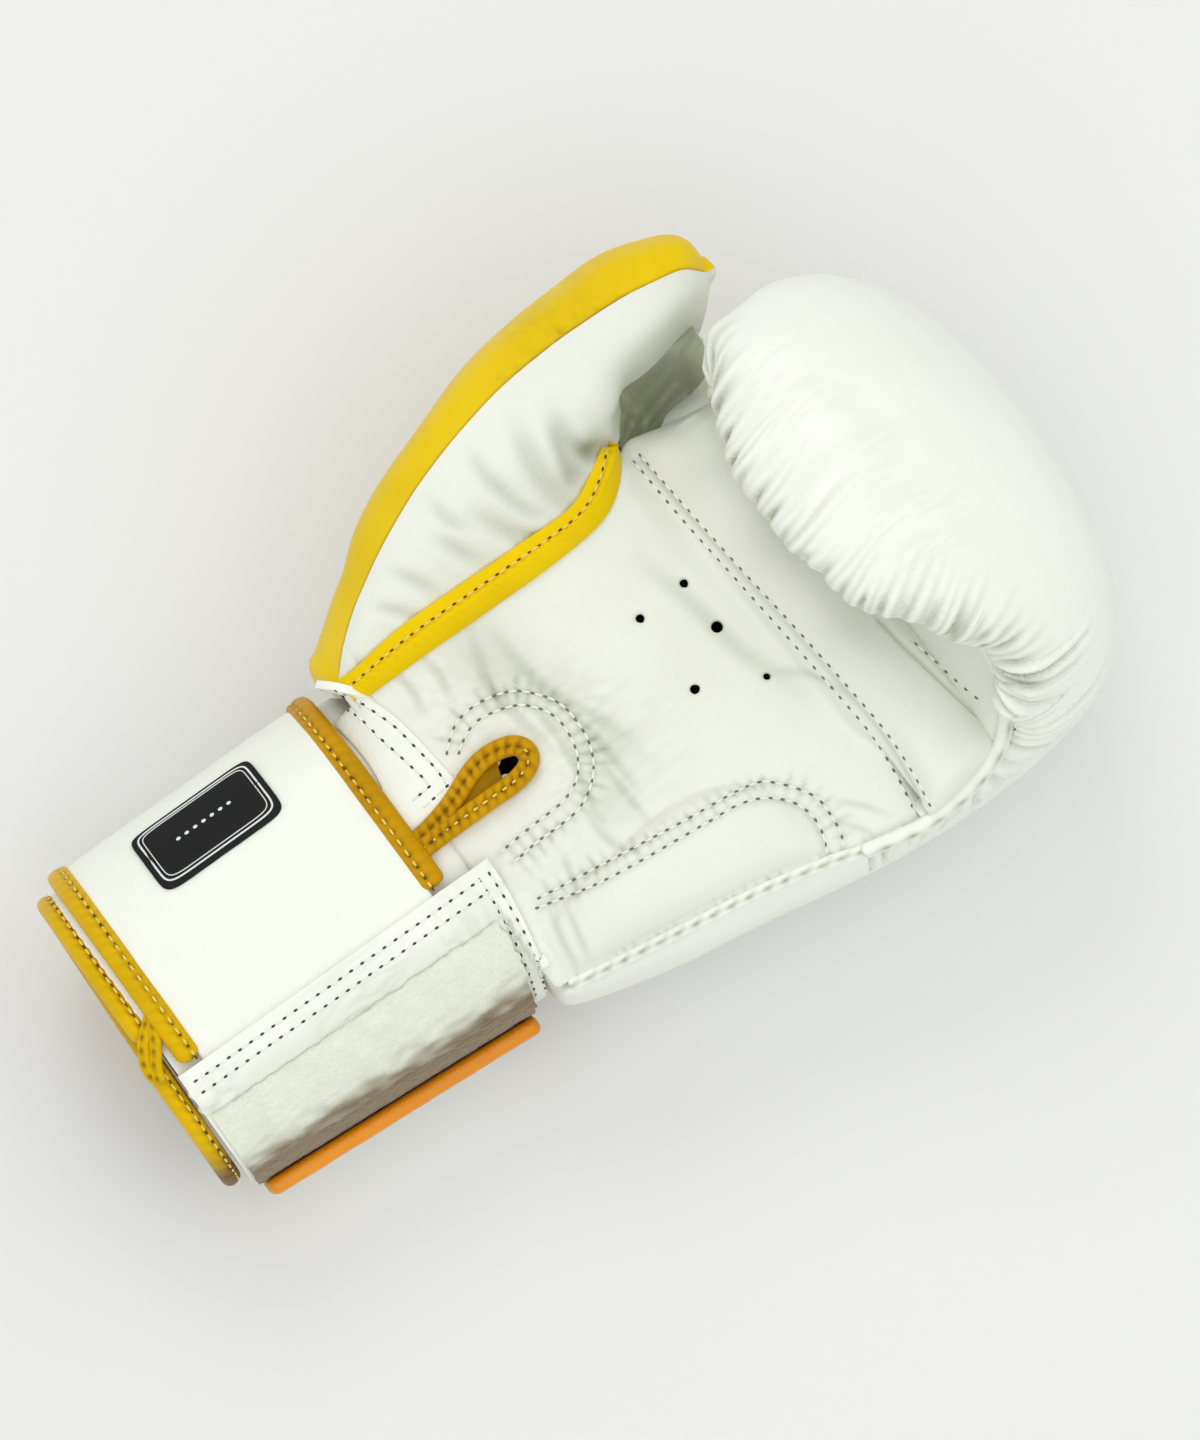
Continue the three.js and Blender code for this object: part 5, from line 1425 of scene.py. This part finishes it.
# %% Sheets that land on other pieces
def landed_sheet(name, tree, first, second, across, along, height, thickness, rounds=60):
    """A sheet between two drawn edges. height(u, v) is how far it lies over what is below it."""
    share = np.linspace(0, 1, across + 1)
    one, two = shares_of(smooth_line(first, 1.0), share), shares_of(smooth_line(second, 1.0), share)
    grid = np.zeros((across + 1, along + 1, 3))
    ups = np.zeros_like(grid)
    for i in range(across + 1):
        for j in range(along + 1):
            x, y = one[i] + (two[i] - one[i]) * j / along
            hit, normal, _, _ = tree.ray_cast(eye, sight(x, y))
            grid[i, j] = hit if hit is not None else grid[i, j - 1]
            ups[i, j] = normal if hit is not None and normal.dot(back) > 0 else back
    for _ in range(rounds):
        level = grid[:, :, 2].copy()
        level[1:-1] = np.maximum(level[1:-1], 0.5 * (level[:-2] + level[2:]))
        level[:, 1:-1] = np.maximum(level[:, 1:-1], 0.5 * (level[:, :-2] + level[:, 2:]))
        for edge, inner in ((0, 1), (-1, -2)):
            level[edge] = np.maximum(level[edge], level[inner] - 0.4 * MM)
            level[:, edge] = np.maximum(level[:, edge], level[:, inner] - 0.4 * MM)
        grid = raised_to(grid, level)
    for _ in range(rounds):
        for rows in (grid, ups):
            rows[1:-1] = 0.25 * rows[:-2] + 0.5 * rows[1:-1] + 0.25 * rows[2:]
            rows[:, 1:-1] = 0.25 * rows[:, :-2] + 0.5 * rows[:, 1:-1] + 0.25 * rows[:, 2:]
    ups = unit(ups)

    def place(u, v):
        i, j = np.round(u * across).astype(int), np.round(v * along).astype(int)
        return grid[i, j] + ups[i, j] * (height(u, v) * MM)[:, None]

    obj = laid_grid(name, across, along, place)
    mean_up = ups.reshape(-1, 3).mean(0)
    return walled(obj, thickness, lambda co: mean_up)


# %% [markdown]
# The thumb's seam is bound too. Its binding is a landed sheet whose height makes the dome of a roll
# and the dip that the thread pulls into it.

# %% Binding of the thumb's seam
BINDING_UPPER = [(337, 683), (402, 624), (476, 572), (540, 528), (571, 505), (589, 474), (600, 446)]
BINDING_LOWER = [(360, 703), (424, 656), (494, 607), (555, 563), (601, 523), (618, 489), (622, 444)]
BINDING_LENGTH, BINDING_SEWN = 118, 0.36


def binding_height(u, v):
    """A dome across the binding, pulled in and puckered along its stitches."""
    along = BINDING_LENGTH * u
    stitch = along / STITCH
    hole = np.exp(-((stitch - np.round(stitch)) / 0.19) ** 2)
    row = np.exp(-((v - BINDING_SEWN) / 0.07) ** 2)
    dome = np.sin(math.pi * np.clip(v, 0.02, 0.98)) ** 0.45
    beside = np.exp(-((v - BINDING_SEWN) / 0.3) ** 2)
    puckered = 0.14 * np.sin(2 * math.pi * (stitch + 0.5)) * beside
    return 0.2 + 2.3 * dome - row * (0.35 + 0.5 * hole) + puckered + 0.2 * rough(along / 9, 96)


seam_tree = tree_of(thumb_front, palm)
thumb_binding = landed_sheet(
    "thumb_seam_binding", seam_tree, BINDING_UPPER, BINDING_LOWER,
    across=240, along=24, height=binding_height, thickness=2.6)
dressed(thumb_binding, YELLOW, "yellow_leather", "thumb_binding")
binding_row = [(a + BINDING_SEWN * (c - a), b + BINDING_SEWN * (d - b))
               for (a, b), (c, d) in zip(BINDING_UPPER, BINDING_LOWER)]
sew("gold", landed(tree_of(thumb_binding), binding_row))

# %% [markdown]
# A facing covers the joint between cuff and palm on the thumb's side. At the rim two narrow folds
# cross the end of the slit, one over the other.

# %% Facing of the cuff
FACING_INNER = [(292, 700), (314, 714), (340, 732), (366, 760), (384, 792), (400, 852)]
FACING_OUTER = [(326, 684), (350, 690), (382, 706), (408, 728), (436, 758), (464, 789)]


def facing_height(u, v):
    """The facing lies high at its top, where it crosses the thumb's root."""
    return 1.5 + 2.4 * (1 - ease(u, 0.04, 0.24)) - 0.5 * ease(v, 0.8, 1)


facing_bed = tree_of(palm, cuff, thumb_back, thumb_front, thumb_binding)
facing = landed_sheet(
    "cuff_facing", facing_bed, FACING_INNER, FACING_OUTER,
    across=90, along=24, height=facing_height, thickness=2.2)
dressed(facing, WHITE, "white_leather")
facing_tree = tree_of(facing)

# %% Folds at the rim
RIM_FOLD_UNDER = [(-2.5, 11.0), (1.5, 6.0), (5.0, 3.2), (9.0, 1.6), (13.5, 1.8)]
RIM_FOLD_OVER = [(-2.0, 11.5), (2.5, 8.6), (6.2, 6.2), (10.0, 3.6), (14.0, 2.2)]
for number, path in enumerate((RIM_FOLD_UNDER, RIM_FOLD_OVER)):
    x, y = smooth_line(path, 0.5).T
    line = line_over(np.array([cuff_angle(value) for value in x]), y, 0.4 + 0.7 * number)
    fold = roll("rim_fold_%d" % number, line, width=3.4, thickness=2.4,
                sewn=0.6, dip=0.3, seed=99 + number)
    dressed(fold, PALE_GOLD, "gold_leather")

# %% [markdown]
# Piping fills the seam round the end of the bar, and a flat welt runs on from it down the side of
# the palm. Both are rolls whose lines are known from the pattern.

# %% Piping at the end of the bar
corner_tree = tree_of(shell, fingers, palm)
PIPING = [
    (44, 243, 112), (50, 244, 107), (60, 243.5, 94), (67, 240, 86.5), (72.5, 234, 82.5),
    (75.5, 226, 80), (77, 217, 78.5), (77, 206, 78), (75, 196, 77.5), (73.3, 188.6, 77)]
PIPING_SHIFT, PIPING_UP = (0, 0, -1.2), (0.25, -0.35, 0.9)
WELT_SHIFT, WELT_UP = (-0.5, 0, -1.0), (0.45, 0, 0.9)


def pattern_line(rows, shift, up):
    """A smooth line through places in the frame, moved by a few millimetres, with one normal."""
    spots = smooth_line(rows, MM) + np.array(shift) * MM
    return spots, unit(np.array([up]) + 0 * spots)


piping_line = pattern_line(framed(PIPING), PIPING_SHIFT, PIPING_UP)
piping = roll("corner_piping", piping_line, width=4.2, thickness=3.0,
              sewn=-1.2, pitch=7.7, dip=0.0, pucker=0.08, seed=98)
dressed(piping, WHITE, "white_leather")
welt_line = pattern_line(SIDE_SEAM, WELT_SHIFT, WELT_UP)
side_welt = roll("side_welt", welt_line, width=3.6, thickness=2.0,
                 pitch=5.3, dip=0.1, pucker=0.16, seed=103)
dressed(side_welt, WHITE, "white_leather")

# %% [markdown]
# The patch on the strap is a black cloth with rounded corners. Two thin white frames and a short
# row of dots are its only ornament.

# %% Patch on the strap
PATCH_MIDDLE, PATCH_HALF_TURN, PATCH_Y, PATCH_HALF_LENGTH = 131, 15.2, 52, 19.5
PATCH_POWER = 9
FRAMES = ((0.905, 0.86, 0.55), (0.845, 0.775, 0.3))
DOT_ROW = np.linspace(-0.42, 0.42, 7)


def patch_place(s, t, lift):
    """A place on the patch: s along the strap's width and t round the cuff, from -1 to 1."""
    angle = PATCH_MIDDLE + PATCH_HALF_TURN * t
    return cuff_point(angle, PATCH_Y + PATCH_HALF_LENGTH * s, strap_over(angle) + 3.3 + lift)


def patch_line(s, t, lift):
    """A line on the patch, with its normals."""
    spots = patch_place(s, t, lift)
    return spots, unit(patch_place(s, t, 2) - spots)


def patch_sheet(u, v):
    """The patch: a square whose corners are drawn in to a rounded shape."""
    s, t = 2 * u - 1, 2 * v - 1
    far = np.maximum(np.maximum(np.abs(s), np.abs(t)), 1e-9)
    reach = np.abs(s / far) ** PATCH_POWER + np.abs(t / far) ** PATCH_POWER
    pull = np.maximum(reach, 1) ** (-1 / PATCH_POWER)
    return patch_place(s * pull, t * pull, 1.1)


label = laid_grid("label", 72, 48, patch_sheet)
walled(label, thickness=1.3, outward=outward)
dressed(label, BLACK, "black_patch", "label_patch")
turn = np.linspace(0, 2 * math.pi, 240)
ring_s, ring_t = (np.sign(wave) * np.abs(wave) ** (2 / PATCH_POWER)
                  for wave in (np.cos(turn), np.sin(turn)))
frames = []
for number, (inset_s, inset_t, width) in enumerate(FRAMES):
    line = patch_line(inset_s * ring_s, inset_t * ring_t, 0.98)
    frames.append(roll("frame %d" % number, line, width, thickness=0.3, dip=0, pucker=0, sides=8))
border = joined("label_border", frames)
dressed(border, BORDER)
dot_spots, dot_ups = patch_line(DOT_ROW, 0 * DOT_ROW, 1.05)
side = unit(np.cross(np.gradient(dot_spots, axis=0), dot_ups))
sewn_rows["dots"] = [(dot_spots, np.cross(dot_ups, side), side, dot_ups, (0.75, 0.75, 0.25))]
thread_object("dots", "label_dots", BORDER)

# %% [markdown]
# Last come the rows of thread in the white leather. They land on the finished pieces, so each
# stitch sits in its groove.

# %% Rows of thread
BAR_FAR_ROW = [(916, 644), (928, 655), (939, 665), (951, 676), (962, 686), (974, 696), (987, 706)]
FACING_ROWS = [
    [(336, 691), (356, 700), (376, 713), (395, 727), (414, 746), (436, 769), (447, 786)],
    [(337, 707), (349, 711), (363, 721), (380, 738), (403, 759), (424, 779), (429, 787)],
    [(447, 786), (430, 802), (420, 811)], [(429, 787), (411, 802)]]
FLAP_INSETS = (1.9, 4.9)
final_palm, flap_tree = tree_of(palm, slit_roll), tree_of(flap)
for marks in (BAR_NEAR_UPPER, BAR_NEAR_LOWER, HEEL_OUTER, HEEL_INNER, ROUND_OUTER, ROUND_INNER):
    sew_landed("white", final_palm, marks)
sew_landed("white", corner_tree, BAR_FAR_ROW)
for marks in FACING_ROWS:
    sew("flap", landed(facing_tree, marks))
for inset in FLAP_INSETS:
    angle = FLAP_ANGLE - inset * 1.25
    flap_row = cuff_point(angle, np.linspace(10, 103, 90), flap_over(angle) + 6)
    sew("flap", dropped(flap_tree, flap_row))
for inset in FLAP_INSETS:
    angle = np.linspace(FLAP_ANGLE - 3, 14, 60)
    sew("flap", dropped(flap_tree, cuff_point(angle, flap_far(angle) - inset, 8)))

thread_object("white thread", "threads_white", THREAD_WHITE)
thread_object("white hole", "needle_holes_white", HOLE_GREY)
thread_object("flap thread", "threads_flap", THREAD_WHITE)
thread_object("flap hole", "needle_holes_flap", HOLE_DARK)
thread_object("gold thread", "threads_gold", THREAD_GOLD)
thread_object("gold hole", "needle_holes_gold", HOLE_BROWN)

# %% [markdown]
# Inside, the glove is lined with dark cloth. Every face of the shell and the palm that looks at the
# middle of the hollow gets the lining, so that the air holes look dark.

# %% Lining
HOLLOW = framed([(0, 100, 44), (3, 160, 48), (6, 215, 52), (8, 240, 62), (8, 256, 80), (6, 250, 96)])


def lined(obj, highest=1.0, keep_off=14):
    """Gives the lining to faces that look at the hollow's middle, away from the lip. highest is
    how far up a lined face may look."""
    obj.data.materials.append(LINING)
    count = len(obj.data.polygons)
    centre, normal = np.empty(count * 3, np.float32), np.empty(count * 3, np.float32)
    obj.data.polygons.foreach_get("center", centre)
    obj.data.polygons.foreach_get("normal", normal)
    centre, normal = centre.reshape(-1, 3), normal.reshape(-1, 3)
    middle = smooth_line(HOLLOW, 2 * MM)
    closest = np.full(count, 9.0)
    towards = np.zeros((count, 3))
    for p in middle:
        far = np.linalg.norm(p - centre, axis=1)
        nearer = far < closest
        closest[nearer], towards[nearer] = far[nearer], (p - centre)[nearer]
    inside = ((unit(towards) * normal).sum(1) > 0.3) & (normal[:, 2] < highest)
    for p in smooth_line(LIP, 4 * MM):
        inside &= np.linalg.norm(p - centre, axis=1) > keep_off * MM
    obj.data.polygons.foreach_set("material_index", inside.astype(np.int32))
    print(obj.name, int(inside.sum()), "faces lined")


lined(shell)
lined(palm, highest=-0.3)

# %% [markdown]
# The glove lies on a plain pale floor under large soft lights, as in a product picture.

# %% Floor and light
bpy.ops.object.select_all(action="DESELECT")
bpy.ops.mesh.primitive_plane_add(size=8, location=(0, 0, 0))
floor = bpy.context.object
floor.name = "floor"
FLOOR, _, _ = plain("pale floor", (0.785, 0.785, 0.79), 0.9)
floor.data.materials.append(FLOOR)


def soft_light(name, place, size, energy):
    """A square lamp that looks at the middle of the floor."""
    bpy.ops.object.light_add(type="AREA", location=place)
    light = bpy.context.object
    light.name = name
    light.data.size = size
    light.data.energy = energy
    light.rotation_euler = Vector(place).to_track_quat("Z", "Y").to_euler()


soft_light("key", (-1.6, 0.5, 2.2), size=1.2, energy=11)
soft_light("overhead", (0.9, -0.3, 2.6), size=3.6, energy=30)
world = bpy.data.worlds.new("studio")
world.use_nodes = True
world.node_tree.nodes["Background"].inputs["Color"].default_value = (0.985, 1, 0.96, 1)
world.node_tree.nodes["Background"].inputs["Strength"].default_value = 0.76
scene.world = world
scene.view_settings.view_transform = "Standard"
